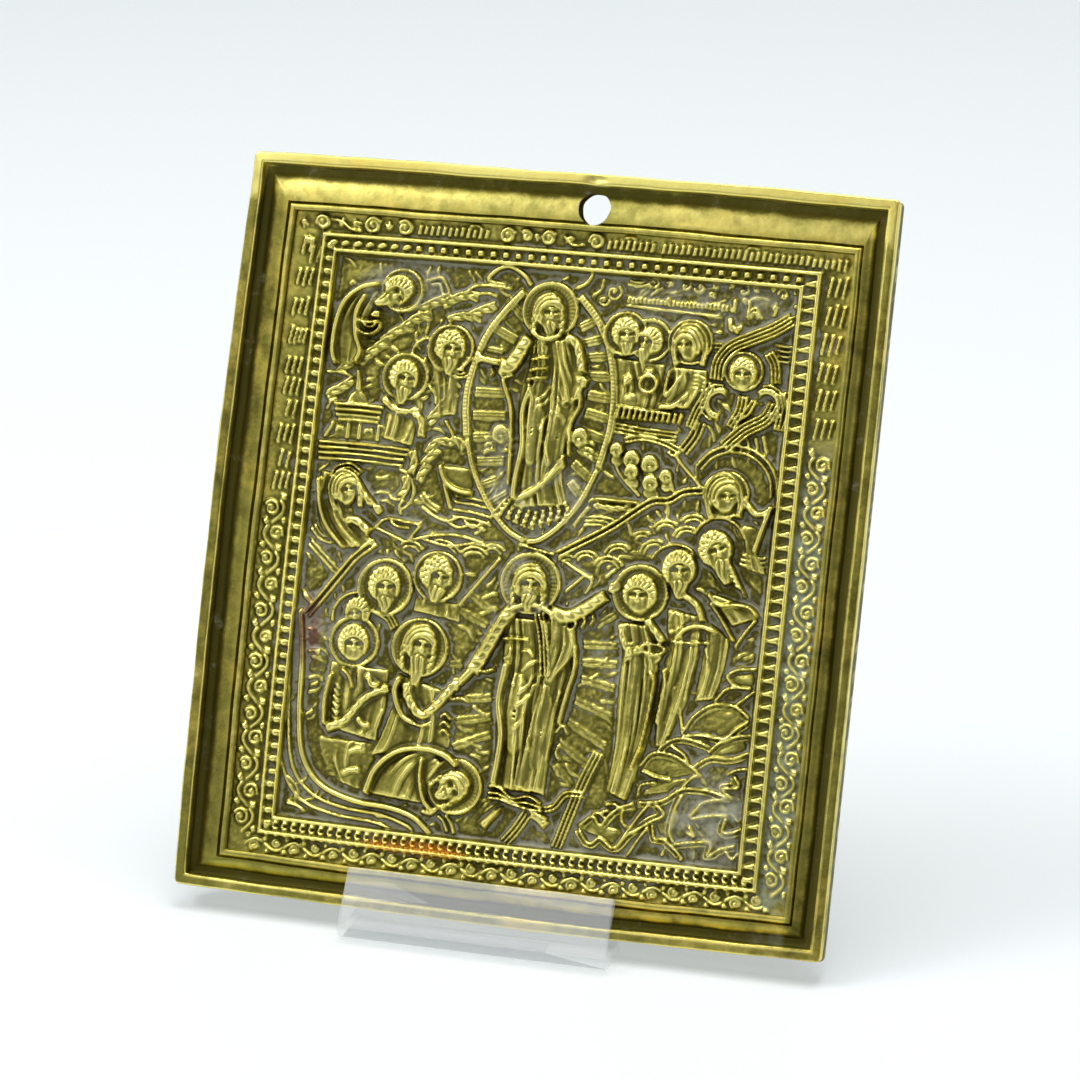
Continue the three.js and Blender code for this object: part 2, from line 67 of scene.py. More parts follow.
def rowPlace(x, y, z):
    # turn about the plate's lower back edge by the lean, then shift to its place on the stand
    bentX, bentY = bowed(x, y)
    footX, footY, footZ = plaque["backFoot"]
    upFace = bentY + halfHigh
    lean = plaque["lean"]
    return mm * np.stack([
        bentX + footX,
        footY + upFace * math.sin(lean) - z * math.cos(lean),
        footZ + upFace * math.cos(lean) + z * math.sin(lean)], axis=-1)


def gridFaces(rows, columns, closed=False):
    # quads between neighbouring rows and columns; closed joins the last column to the first
    index = np.arange(rows * columns).reshape(rows, columns)
    right = np.roll(index, -1, axis=1)
    if not closed:
        index, right = index[:, :-1], right[:, :-1]
    quads = np.stack([index[:-1], right[:-1], right[1:], index[1:]], axis=-1)
    return quads.reshape(-1, 4)


def surfaceObject(name, points, quads, caps=(), flipped=False, sharpAngle=None):
    # one closed mesh from whole arrays: the quads first, then the many-sided caps
    caps = [np.asarray(cap) for cap in caps]
    if flipped:
        quads, caps = quads[:, ::-1], [cap[::-1] for cap in caps]
    loops = np.concatenate([quads.ravel(), *caps]).astype(np.int32)
    sizes = np.concatenate([np.full(len(quads), 4), [len(cap) for cap in caps]]).astype(np.int32)
    starts = np.concatenate([[0], np.cumsum(sizes)[:-1]]).astype(np.int32)
    mesh = bpy.data.meshes.new(name)
    mesh.vertices.add(len(points))
    mesh.vertices.foreach_set("co", points.astype(np.float32).ravel())
    mesh.loops.add(len(loops))
    mesh.loops.foreach_set("vertex_index", loops)
    mesh.polygons.add(len(sizes))
    mesh.polygons.foreach_set("loop_start", starts)
    mesh.update(calc_edges=True)
    mesh.polygons.foreach_set("use_smooth", np.ones(len(sizes), bool))
    if sharpAngle:
        mesh.set_sharp_from_angle(angle=math.radians(sharpAngle))
    made = bpy.data.objects.new(name, mesh)
    bpy.context.scene.collection.objects.link(made)
    return made


def pointValues(made, **layers):
    # one number per vertex under each name, for the materials to read
    for name, values in layers.items():
        layer = made.data.attributes.new(name, "FLOAT", "POINT")
        layer.data.foreach_set("value", np.asarray(values, np.float32).ravel())


def smoothstep(low, high, value):
    # 0 below low, 1 above high, 3t^2 - 2t^3 between
    t = np.clip((value - low) / (high - low), 0, 1)
    return t * t * (3 - 2 * t)


def blurred(values, reach, passes=3):
    # a bell-shaped running mean: box means, each 2*reach+1 cells wide, along both axes
    result = np.asarray(values, float)
    for axis in (0, 1):
        for _ in range(passes):
            count = 2 * reach + 1
            padding = [(0, 0), (0, 0)]
            padding[axis] = (reach + 1, reach)
            total = np.cumsum(np.pad(result, padding, mode="edge"), axis=axis)
            low = [slice(None)] * 2
            high = [slice(None)] * 2
            low[axis], high[axis] = slice(0, -count), slice(count, None)
            result = (total[tuple(high)] - total[tuple(low)]) / count
    return result


def cloudy(shape, cell, size, seed):
    # value noise: random numbers on a coarse lattice, blended by cubic steps, about -1 to 1
    draw = np.random.default_rng(seed)
    rows, columns = shape
    alongY, alongX = np.arange(rows) * cell / size, np.arange(columns) * cell / size
    lattice = draw.uniform(-1, 1, (int(alongY[-1]) + 2, int(alongX[-1]) + 2))
    iy, ix = alongY.astype(int), alongX.astype(int)
    ty, tx = smoothstep(0, 1, alongY - iy)[:, None], smoothstep(0, 1, alongX - ix)[None, :]
    lower = lattice[np.ix_(iy, ix)] * (1 - tx) + lattice[np.ix_(iy, ix + 1)] * tx
    upper = lattice[np.ix_(iy + 1, ix)] * (1 - tx) + lattice[np.ix_(iy + 1, ix + 1)] * tx
    return lower * (1 - ty) + upper * ty


def pathOf(points, spacing):
    # a smooth curve through the points, given as x, y, x, y or in pairs: every span blends its
    # four nearest points with cubic weights, and the result is cut again into even steps. Weights:
    # half of 2b + (c-a)t + (2a-5b+4c-d)t^2 + (3b-a-3c+d)t^3
    p = np.asarray(points, float).reshape(-1, 2)
    knots = np.vstack([2 * p[0] - p[1], p, 2 * p[-1] - p[-2]])
    t = np.linspace(0, len(p) - 1 - 1e-9, 24 * (len(p) - 1) + 2)
    i = t.astype(int)
    f = (t - i)[:, None]
    a, b, c, d = knots[i], knots[i + 1], knots[i + 2], knots[i + 3]
    line = (2 * b + (c - a) * f + (2 * a - 5 * b + 4 * c - d) * f**2 + (3 * b - a - 3 * c + d) * f**3) / 2
    travelled = np.concatenate([[0], np.cumsum(np.hypot(*np.diff(line, axis=0).T))])
    along = np.linspace(0, travelled[-1], max(3, int(travelled[-1] / spacing) + 2))
    even = np.stack([np.interp(along, travelled, line[:, 0]), np.interp(along, travelled, line[:, 1])],
            axis=1)
    slope = np.gradient(even, axis=0)
    slope /= np.hypot(slope[:, 0], slope[:, 1])[:, None] + 1e-9
    return even, np.stack([-slope[:, 1], slope[:, 0]], axis=1), along


# Cross sections of a drawn band. s runs from -1 to 1 across it, d is millimetres along it.
crossSections = {
    "round": lambda s, d: np.sqrt(1 - s**2),
    "crest": lambda s, d: (1 - np.abs(s)) ** 0.75,
    "flat": lambda s, d: 1 - s**8,
    "double": lambda s, d: (1 - s**8) * (0.3 + 0.7 * np.sin(math.pi * np.abs(s)) ** 2),
    "triple": lambda s, d: (1 - s**8) * (0.3 + 0.7 * np.cos(1.5 * math.pi * s) ** 2),
    "ribbed": lambda s, d: (1 - s**6) * (0.92 + 0.08 * np.cos(2 * math.pi * d / 0.58)),
    "twisted": lambda s, d: np.sqrt(1 - s**2) * (0.72 + 0.28 * np.cos(2 * math.pi * (d / 1.1 + 0.5 * s))),
    "sleeve": lambda s, d: np.sqrt(1 - s**2) * (0.91 + 0.09 * np.cos(2 * math.pi * (d / 1.5 + 0.45 * s))),
    "leafy": lambda s, d: np.sqrt(1 - s**2) * (0.35 + 0.65 * np.abs(np.cos(math.pi * (d / 1.5 + 0.55 * s)))),
    "feather": lambda s, d: np.sqrt(1 - s**2)
    * (0.55 + 0.45 * np.cos(2 * math.pi * (d / 0.9 + 0.8 * np.abs(s)))),
}


class Relief:
    # a height map over the plaque's face: z in millimetres out of the plate's back, on a square grid
    def __init__(self, left, right, bottom, top, cell):
        self.left, self.bottom, self.cell = left, bottom, cell
        self.x = np.arange(left, right + cell, cell)
        self.y = np.arange(bottom, top + cell, cell)
        self.z = np.zeros((len(self.y), len(self.x)))
        self.floor = rimTop - groundDepth
        self.shiftX = 0.0

    def lay(self, x, y, z, how="over"):
        # every sample is shared out to its four nearest cells by its distance to them, and a
        # cell takes the weighted mean of its samples; over keeps the higher surface, onto adds
        gridX = (np.asarray(x).ravel() + self.shiftX - self.left) / self.cell
        gridY = (np.asarray(y).ravel() - self.bottom) / self.cell
        z = np.asarray(z).ravel()
        rows, columns = self.z.shape
        inside = (gridX > 0) & (gridY > 0) & (gridX < columns - 2) & (gridY < rows - 2)
        if not inside.any():
            return
        gridX, gridY, z = gridX[inside], gridY[inside], z[inside]
        ix, iy = gridX.astype(int), gridY.astype(int)
        fx, fy = gridX - ix, gridY - iy
        x0, y0 = ix.min(), iy.min()
        wide, high = ix.max() - x0 + 2, iy.max() - y0 + 2
        start = (iy - y0) * wide + ix - x0
        weight, total = np.zeros(wide * high), np.zeros(wide * high)
        for step, share in ((0, (1 - fx) * (1 - fy)), (1, fx * (1 - fy)), (wide, (1 - fx) * fy),
                (wide + 1, fx * fy)):
            weight += np.bincount(start + step, share, wide * high)
            total += np.bincount(start + step, share * z, wide * high)
        weight, total = weight.reshape(high, wide), total.reshape(high, wide)
        mean = total / np.maximum(weight, 1e-9)
        covered = weight > 0.6
        window = self.z[y0:y0 + high, x0:x0 + wide]
        if how == "over":
            window[:] = np.where(covered, np.maximum(window, self.floor + mean), window)
        else:
            window[:] = np.where(covered, window + mean, window)

    def ribbon(self, points, width, rise, base=0.0, section="round", how="over", taper=(1.0, 1.0), ends=0.6):
        # a band along a smooth path: position = path + s * half width * side direction, height =
        # base + rise * section(s, d), easing to nothing over the last millimetres at both ends
        path, side, along = pathOf(points, self.cell * 0.5)
        share = along / along[-1]
        half = width / 2 * (taper[0] + (taper[1] - taper[0]) * share)
        s = np.linspace(-1, 1, max(5, int(width / self.cell * 2.2)))[None, :]
        x = path[:, :1] + side[:, :1] * half[:, None] * s
        y = path[:, 1:] + side[:, 1:] * half[:, None] * s
        shape = crossSections[section](s, along[:, None]) + 0 * x
        if ends:
            nearest = np.minimum(along, along[-1] - along)
            shape = shape * np.sqrt(np.clip(nearest / ends, 0, 1))[:, None]
        self.lay(x, y, (0 if how == "onto" else base) + rise * shape, how)

    def ribbons(self, *rows, **more):
        # several bands in turn: each row has a band's points, width, rise, base and section
        for row in rows:
            self.ribbon(*row, **more)

    def ring(self, x, y, radius, width, rise, base=0.0, section="round", start=0, turn=360, how="over"):
        angles = np.radians(start + np.linspace(0, turn, max(5, abs(turn) // 20)))
        points = np.stack([x + radius * np.cos(angles), y + radius * np.sin(angles)], axis=1)
        self.ribbon(points, width, rise, base, section, how, ends=0 if abs(turn) >= 360 else 0.5)

    def disc(self, x, y, radius, height, how="over", squash=1.0, turn=0.0):
        # a patch in polar samples: height(share of the radius, angle)
        rings = max(4, int(radius / self.cell * 2))
        spokes = max(24, int(2 * math.pi * radius / self.cell * 1.8))
        share = np.sqrt(np.linspace(0.0005, 1, rings * 2))[:, None]
        angle = np.linspace(0, 2 * math.pi, spokes, endpoint=False)[None, :] + share * 3
        u, v = share * np.cos(angle) * radius, share * np.sin(angle) * radius * squash
        c, s = math.cos(math.radians(turn)), math.sin(math.radians(turn))
        self.lay(x + u * c - v * s, y + u * s + v * c, height(share + 0 * angle, angle + 0 * share), how)

    def knob(self, x, y, radius, rise, base=0.0, squash=1.0, turn=0.0, how="over"):
        self.disc(x, y, radius, lambda r, a: base + rise * np.sqrt(np.clip(1 - r**2, 0, 1)), how, squash,
                turn)

    def cloth(self, left, right, folds=5, base=0.3, rise=0.7, deep=0.3, sway=0.5, fan=0.0, how="over",
            seed=1):
        # cloth between two edges: a point at share s across and t down lies on the straight line
        # between them; height = base + rise * (1 - (2s-1)^6) plus fold crests that wander with t
        a, b = pathOf(left, self.cell * 0.5)[0], pathOf(right, self.cell * 0.5)[0]
        count = max(len(a), len(b))
        t = np.linspace(0, 1, count)
        pick = lambda path: np.stack([np.interp(t * (len(path) - 1), np.arange(len(path)),
                path[:, k]) for k in (0, 1)], 1)
        a, b = pick(a), pick(b)
        reach = np.hypot(*(b - a).T).max()
        s = np.linspace(0, 1, max(6, int(reach / self.cell * 2)))[None, :]
        x = a[:, :1] * (1 - s) + b[:, :1] * s
        y = a[:, 1:] * (1 - s) + b[:, 1:] * s
        draw = np.random.default_rng(seed)
        phase, speed = draw.uniform(0, 6.28, 4), draw.uniform(0.7, 1.6, 4)
        down = t[:, None]
        wander = sway * (np.sin(speed[0] * 3 * down + phase[0] + 3 * s) + 0.5
                * np.sin(speed[1] * 7 * down + phase[1]))
        ripple = 1.35 * folds * s * (1 + fan * (down - 0.5)) + 0.35 * wander
        fade = np.clip(0.45 + 0.65 * np.sin(1.7 * ripple + 4 * down * speed[2] + phase[3]), 0.08, 1)
        crest = (0.5 + 0.5 * np.cos(2 * math.pi * ripple)) ** 1.6 * fade + 0.18 * fade * np.cos(4 * math.pi
                * ripple + 2 * down + phase[1])
        broad = 0.5 + 0.5 * np.cos(2 * math.pi * (ripple / 3.1 + phase[2] + 0.4 * down))
        edge = np.sqrt(1 - np.abs(2 * s - 1) ** 3.2)
        ending = np.sqrt(np.clip(np.minimum(t, 1 - t) * count * self.cell * 0.5 / 0.35, 0, 1))[:, None]
        z = (base * (0.4 + 0.6 * edge) + (rise * (0.58 + 0.42 * broad) + deep * 1.25 * (crest - 0.5))
                * edge) * (0.5 + 0.5 * ending)
        self.lay(x, y, z, how)

    def halo(self, x, y, radius, base=0.1, dish=0.25):
        # a shallow saucer with a raised rim and fine rays inside it
        def saucer(r, a):
            rays = 0.05 * np.cos(round(radius * 9) * a) * (r > 0.6) * (r < 0.9)
            return base + 0.10 + dish * 1.2 + rays + 0.22 * np.exp(-((r - 0.95) * radius / 0.16) ** 2)
        self.disc(x, y, radius, saucer)

    def head(self, x, y, size, tilt=0, turn=0.0, base=0.5, rise=1.15, hair="short", beard=0.0, seed=1):
        # u runs across the head and v up it, both in half head heights. The skull is half an egg;
        # brow, eyes, nose, lips and chin are soft bumps set at a sculptor's usual thirds.
        size *= 1.12
        steps = np.arange(-1.15, 1.1501, self.cell * 0.45 / size)
        u, v = np.meshgrid(steps, steps)
        girth = 0.86 - 0.18 * smoothstep(-0.15, -1.0, v)
        egg = (u / girth) ** 2 + v**2
        near = egg < 1
        u, v, egg = u[near], v[near], egg[near]
        turn = min(max(1.7 * turn, -1), 1)
        f = (u - 0.36 * turn) / (1 - 0.16 * abs(turn))

        def bump(cx, cy, wide, high):
            return np.exp(-((f - cx) / wide) ** 2 - ((v - cy) / high) ** 2)

        z = np.sqrt(1 - egg) ** 0.7
        angle, out = np.arctan2(v + 0.25, f), np.hypot(f, v + 0.25)
        brow = 0.20
        locks = smoothstep(0.84, 1.0, (f / 0.58) ** 2 + (np.maximum(v - brow + 0.30,
                0) / 0.42) ** 2) * smoothstep(-0.80, -0.45, v)
        f, v = f / 0.86, (v + 0.10) / 0.88
        z += 0.28 * bump(0, 0.26, 0.42, 0.08)
        z -= 0.44 * (bump(-0.27, 0.08, 0.17, 0.10) + bump(0.27, 0.08, 0.17, 0.10))
        z += 0.34 * (bump(-0.27, 0.07, 0.09, 0.055) + bump(0.27, 0.07, 0.09, 0.055))
        z += 0.26 * bump(0, 0.02, 0.075, 0.22) + 0.30 * bump(0, -0.20, 0.12, 0.09)
        z += 0.08 * (bump(-0.36, -0.20, 0.17, 0.17) + bump(0.36, -0.20, 0.17, 0.17))
        z += 0.18 * (bump(0, -0.43, 0.17, 0.035) + bump(0, -0.54, 0.14, 0.04)) - 0.14 * bump(0, -0.485,
                0.18, 0.02)
        z += 0.15 * bump(0, -0.76, 0.18, 0.12)
        strand = {
            "short": np.cos(23 * angle + 7 * out) * np.cos(9 * out + 2 * angle),
            "long": np.cos(30 * out + 1.5 * angle),
            "curls": np.cos(15 * angle + 3 * out) * np.cos(17 * out), "veil": np.cos(24 * out + 0.6 * angle),
        }[hair]
        z += locks * (0.30 + 0.24 * strand) - 0.16 * (1 - locks)
        f, v = f * 0.86, v * 0.88 - 0.10
        c, s = math.cos(math.radians(tilt)), math.sin(math.radians(tilt))
        self.lay(x + size * (u * c - v * s), y + size * (u * s + v * c), base + rise * z / 1.15)
        place = lambda a, b: (x + size * (a * c - b * s), y + size * (a * s + b * c))
        if hair == "long":
            for flank in (-1, 1):
                lock = [place(flank * 0.62 + 0.1 * turn, 0.45), place(flank * 0.76, -0.2),
                        place(flank * 0.72, -0.9), place(flank * 0.62, -1.35)]
                self.ribbon(lock, size * 0.42, rise * 0.62, base, "twisted", taper=(1.0, 0.7))
        if hair == "veil":
            hood = [place(-0.74, -1.25), place(-0.90, -0.5), place(-0.86, 0.35), place(-0.45, 0.92),
                    place(0, 1.06),
                    place(0.45, 0.92), place(0.86, 0.35), place(0.90, -0.5), place(0.74, -1.25)]
            self.ribbon(hood, size * 0.36, rise * 0.78, base, "double")
        if beard:
            spread = np.linspace(-1, 1, max(8, int(size * 1.1 / self.cell * 2)))[None, :]
            down = np.linspace(0, 1, max(8, int(size * (0.5 + beard) / self.cell * 2)))[:, None]
            wide = (0.50 - 0.34 * down**1.5) * np.sqrt(np.clip(down / 0.12, 0, 1))
            bu, bv = spread * wide + 0.22 * turn, -0.52 - down * (0.45 + beard) + 0 * spread
            tuft = 0.86 - 0.30 * down + 0.15 * np.cos(11 * spread + 2.0
                    * np.sin(5 * down + seed)) + 0 * spread
            bz = base + rise * 0.98 * tuft * np.sqrt(1 - 0.85 * spread**2)
            self.lay(x + size * (bu * c - bv * s), y + size * (bu * s + bv * c), bz)
            for flank in (-1, 1):
                self.ribbon([place(0.24 * turn, -0.36), place(flank * 0.22 + 0.24 * turn, -0.42),
                        place(flank * 0.36 + 0.2 * turn, -0.62)],
                            size * 0.13, 0.12, 0, "round", "onto", ends=0.1)

    def hand(self, x, y, size, angle, base=0.8, rise=0.35, spread=9, fingers=4):
        # a small palm with a fan of fingers and a thumb, pointing along angle
        a = math.radians(angle)
        along, side = (math.cos(a), math.sin(a)), (-math.sin(a), math.cos(a))
        place = lambda d, e: (x + size * (d * along[0] + e * side[0]),
                y + size * (d * along[1] + e * side[1]))
        self.knob(x, y, size * 0.52, rise, base, 0.78, angle)
        for k in range(fingers):
            offset = (k - (fingers - 1) / 2) * 0.24
            lean = math.tan(math.radians(spread)) * (k - (fingers - 1) / 2) * 0.5
            self.ribbon([place(0.25, offset), place(0.75, offset + lean * 0.5), place(1.25, offset + lean)],
                    size * 0.24, rise, base, ends=0.15)
        self.ribbon([place(0, 0.42), place(0.35, 0.62), place(0.7, 0.68)], size * 0.24, rise, base, ends=0.15)

    def strokes(self, paths, width=0.34, rise=0.3, base=0.1, section="round", how="over", ends=0.3):
        width = 0.2 + 0.55 * width
        for points in paths:
            self.ribbon(points, width, rise, base, section, how, ends=ends)

    def bundle(self, points, count, gap, width=0.34, rise=0.3, base=0.1, how="over"):
        # parallel lines a gap apart, side by side along one path
        path, side, _ = pathOf(points, 0.6)
        for k in range(count):
            self.ribbon(path + side * gap * (k - (count - 1) / 2), width, rise, base, how=how, ends=0.3)


border = {
    "beadPitch": 1.95, "dashPitch": 1.45, "lineWidth": 0.72, "scrollRise": 0.42,
    "leftBay": 3.9, "rightBay": 3.6, "bottomBay": 3.1,
}


def ringShare(x, y):
    # 0 at the moulding's inner edge, 1 at the bead edging, 2 at the panel: on every side the inset
    # from the outer edge is read against that side's widths, and the nearest side wins
    insets = {"left": x + halfWide, "right": halfWide - x, "top": halfHigh - y, "bottom": y + halfHigh}
    shares = []
    for side in sides:
        start = margin[side]
        stops = [0, start, start + scrollBand[side], start + scrollBand[side] + edging[side], 120]
        shares.append(np.interp(insets[side], stops, [-1, 0, 1, 2, 12]))
    return np.stack(shares).min(axis=0)


def curl(relief, x, y, radius, start, turn, width=None, rise=None):
    # a spiral: the radius shrinks evenly from full to a quarter while the angle turns
    width, rise = width or border["lineWidth"], rise or border["scrollRise"]
    t = np.linspace(0, 1, 9)
    angle = np.radians(start + turn * t)
    reach = radius * (1 - 0.72 * t)
    relief.ribbon(np.stack([x + reach * np.cos(angle), y + reach * np.sin(angle)], 1), width, rise,
            taper=(1.0, 0.7), ends=0.25)
    relief.knob(x, y, width * 0.62, rise, 0)


def leafLet(relief, x, y, length, angle, rise=None):
    # three short tapering strokes that fan out of one point
    for spread in (-32, 0, 32):
        a = math.radians(angle + spread)
        far = length * (1.0 if spread == 0 else 0.75)
        relief.ribbon([(x, y), (x + far * 0.5 * math.cos(a), y + far * 0.5 * math.sin(a)),
                (x + far * math.cos(a + 0.25), y + far * math.sin(a + 0.25))], 0.55,
                rise or border["scrollRise"], taper=(1, 0.5), ends=0.2)


def strokeGroup(relief, x, y, wide, high, count, seed):
    # plain slanting bars side by side, evenly spaced and of uneven height: no letters
    draw = np.random.default_rng(seed)
    for k in range(count):
        place, lean = x + wide * ((k + 0.5) / count - 0.5), 0.07 * high
        low, top = y - high / 2 * draw.uniform(0.7, 1), y + high / 2 * draw.uniform(0.6, 1)
        relief.ribbon([(place - lean, low), (place, (low + top) / 2), (place + lean, top)], 0.56,
                border["scrollRise"], ends=0.2)


def vine(relief, line, low, high, pitch, swing, radius, upright, width=0.6):
    # a wavy stem along the band, broken at each bay, with one curl in each and small leaves between:
    # place across = swing * cos(pi * (along / pitch - 1/2))
    draw = np.random.default_rng(int(10 * abs(line)))
    place = lambda a, b: (line + b, a) if upright else (a, line + b)
    for k, a in enumerate(np.arange(low + pitch / 2, high - pitch / 4, pitch)):
        hand = 1 if k % 2 == 0 else -1
        t = np.linspace(a - 0.62 * pitch, a + 0.36 * pitch, 8)
        relief.ribbon([place(b, swing * math.cos(math.pi * ((b - low) / pitch - 0.5))) for b in t], width,
                border["scrollRise"], taper=(0.6, 1.1))
        x, y = place(a + draw.uniform(-0.2, 0.2), -hand * swing * 0.42)
        curl(relief, x, y, radius * draw.uniform(0.8, 1.12), (0 if upright else 90) + 90 * hand + 70,
                -hand * 480, width * 0.9)
        x, y = place(a + pitch * 0.36, hand * swing * 1.05)
        leafLet(relief, x, y, radius * 0.95, (90 if upright else 0) + 25 * hand)
        x, y = place(a - pitch * 0.36, hand * swing * 1.25)
        leafLet(relief, x, y, radius * 0.8, (270 if upright else 180) - 25 * hand)


def drawBorder(relief):
    # band ground, ridge, bead bed and inner ridge as one section over the ring share
    share = ringShare(*np.meshgrid(relief.x, relief.y))
    stops = [-1, 0, 1.0, 1.06, 1.12, 1.22, 1.30, 1.74, 1.80, 1.92, 2.0, 2.04]
    depths = [1.9, 1.9, 1.9, 1.45, 1.2, 1.2, 1.75, 1.75, 1.3, 1.25, 1.9, 2.3]
    relief.z[:] = rimTop - np.interp(share, stops, depths)
    relief.floor, relief.shiftX = rimTop - 1.75, 0
    draw = np.random.default_rng(5)
    reachX, reachY = (-42.5 + 4.4, 43.8 - 4.3), (-49.8 + 2.7, 47.5 - 2.8)
    middle = {"left": reachX[0] + 1.5, "right": reachX[1] - 1.85, "top": reachY[1] - 1.65}
    for y in np.arange(-45.2, 43.4, border["beadPitch"]):
        size = draw.uniform(0.9, 1.08)
        relief.knob(middle["left"] + draw.uniform(-0.05, 0.05), y, 0.72 * size, 0.62, 0, 0.82, -12)
        relief.ribbon([middle["left"] + 0.3, y + 0.1, middle["left"] + 1.0, y + 0.3], 0.4, 0.4, ends=0.2)
        relief.ribbon([middle["right"] + 0.95, y + 0.1, middle["right"] - 0.75, y - 0.1], 1.35 * size, 0.6,
                ends=0.15, taper=(1.0, 0.35))
    for x in np.arange(-36.2, 37.6, border["beadPitch"]):
        size = draw.uniform(0.92, 1.08)
        if x < -24:
            relief.knob(x, middle["top"], 0.8 * size, 0.6, 0, 0.6, 24)
        else:
            relief.ribbon([x - 0.48, middle["top"], x + 0.48, middle["top"]], 0.95 * size, 0.6, 0, "flat",
                    ends=0.12)
        relief.ribbon([x - 0.8, middle["top"] - 0.75, x, middle["top"] - 0.98,
                x + 0.8, middle["top"] - 0.75], 0.3, 0.45, ends=0.2)
    for x in np.arange(-36.6, 38.2, border["dashPitch"]):
        tilt = draw.uniform(-0.06, 0.06)
        relief.ribbons(
                ([x - 0.42, -44.95 - tilt, x + 0.42, -44.95 + tilt], 0.58, 0.62),
                ([x - 0.42, -45.85 - tilt, x + 0.42, -45.85 + tilt], 0.58, 0.62),
                ends=0.12)
        relief.ribbon([x - 0.4, -44.95, x - 0.42, -45.85], 0.34, 0.5, ends=0.1)
        relief.knob(x + 0.2, -46.75, 0.42, 0.72, 0, 0.8)

    relief.floor = rimTop - 1.9
    # corner leaves and scrolls of the top band, then its rows of strokes
    for x, y, r, start, turn in ((-38.2, 46.0, 1.15, 200, -560), (-30.2, 46.0, 1.35, 30, 560),
            (-25.2, 46.0, 1.25, 150, -520),
            (-9.0, 46.0, 1.2, 20, 540), (-6.1, 46.2, 0.9, 160, -420),
            (-2.6, 46.1, 1.15, 30, 520),
            (4.7, 46.1, 1.2, 190, -540)):
        curl(relief, x, y, r, start, turn)
    for x, y, length, angle in ((-41.0, 46.4, 1.5, 250), (-35.5, 45.6, 1.6, 60), (-33.2, 46.6, 1.7, 300),
            (-27.9, 45.6, 1.4, 70),
            (-36.6, 44.6, 1.3, 200), (-4.4, 46.7, 1.2, 260), (1.2, 46.4, 1.5, 200),
            (-40.2, 43.6, 1.4, 300)):
        leafLet(relief, x, y, length, angle)
    relief.strokes([[-37, 46.6, -35.2, 46.3, -33.6, 45.3, -31.8, 45.0],
            [-0.4, 46.7, 1.2, 45.4, 3.0, 45.6]], 0.55, 0.6, 0)
    for k, x in enumerate(np.concatenate([np.arange(-22.3, -11.2, 1.9), np.arange(7.2, 13.4, 1.9),
            np.arange(15.6, 43.0, 1.9)])):
        strokeGroup(relief, x, 46.0 if x < 38 else 45.8, 1.9, 1.9, 2, 100 + k)
    for x in (-14.2, 9.9, 28.6):
        relief.ribbon([x - 0.9, 47.05, x, 47.2, x + 0.9, 47.0], 0.34, 0.5, ends=0.2)
    # the side bands: groups of strokes above, a running vine below
    for k, (x, y, count) in enumerate(((-40.2, 42.4, 2), (-38.8, 41.2, 2), (-40.0, 37.6, 3),
            (-40.1, 33.0, 3), (-39.9, 28.6, 4), (-40.0, 24.2, 3),
            (-39.9, 21.0, 3), (-39.6, 17.4, 2), (-40.0, 13.6, 3),
            (-39.8, 9.8, 2), (-39.9, 6.4, 3))):
        strokeGroup(relief, x, y, 3.0 if count > 2 else 2.3, 3.1, count, 200 + k)
    for k, (x, y, count) in enumerate(((41.8, 42.4, 3), (41.9, 38.2, 3), (41.7, 34.0, 3), (41.6, 29.8, 3),
            (41.8, 25.6, 3), (41.9, 21.4, 3))):
        strokeGroup(relief, x, y, 3.3 if count > 2 else 2.4, 3.4, count, 300 + k)
    vine(relief, -40.3, -46.6, 4.4, border["leftBay"], 1.35, 1.2, True)
    vine(relief, 41.75, -46.9, 18.6, border["rightBay"], 1.35, 1.2, True)
    vine(relief, -48.45, -39.6, 42.2, border["bottomBay"], 0.75, 0.78, False, 0.5)


def drawRocks(relief, runs, width=1.5, rise=0.45, base=0.05):
    # leafy crags: each run is a scalloped band with a bright edge line beside it
    for points in runs:
        relief.ribbon(points, width, rise, base, "leafy", taper=(0.8, 1.0), ends=0.5)
        path, side, _ = pathOf(points, 0.8)
        relief.ribbon(path + side * width * 0.42, 0.34, rise + 0.12, base, ends=0.4)


def drawArcs(relief, arcs, width=0.36, rise=0.34, base=0.05, double=0.0):
    # plain raised arcs: centre, radius, first angle and turn; double adds an inner line
    for x, y, radius, start, turn in arcs:
        relief.ring(x, y, radius, width, rise, base, start=start, turn=turn)
        if double:
            relief.ring(x, y, radius - double, width * 0.9, rise * 0.8, base, start=start, turn=turn)


def drawGround(relief):
    # the chaser's fine lines over the open ground: short strokes that follow a slow wavy flow
    draw = np.random.default_rng(77)
    for _ in range(620):
        x, y = draw.uniform(-34.4, 36.2), draw.uniform(-43.4, 41)
        flow = 0.7 * math.sin(x / 7 + 1.2) + 0.9 * math.cos(y / 8 + x / 15) + draw.uniform(-0.25, 0.25)
        reach, bend = draw.uniform(0.8, 1.9), draw.uniform(-0.35, 0.35)
        dx, dy = reach * math.cos(flow), reach * math.sin(flow)
        relief.ribbon([x - dx, y - dy, x - bend * dy, y + bend * dx, x + dx, y + dy],
                draw.uniform(0.3, 0.5), draw.uniform(0.12, 0.3), ends=0.5)


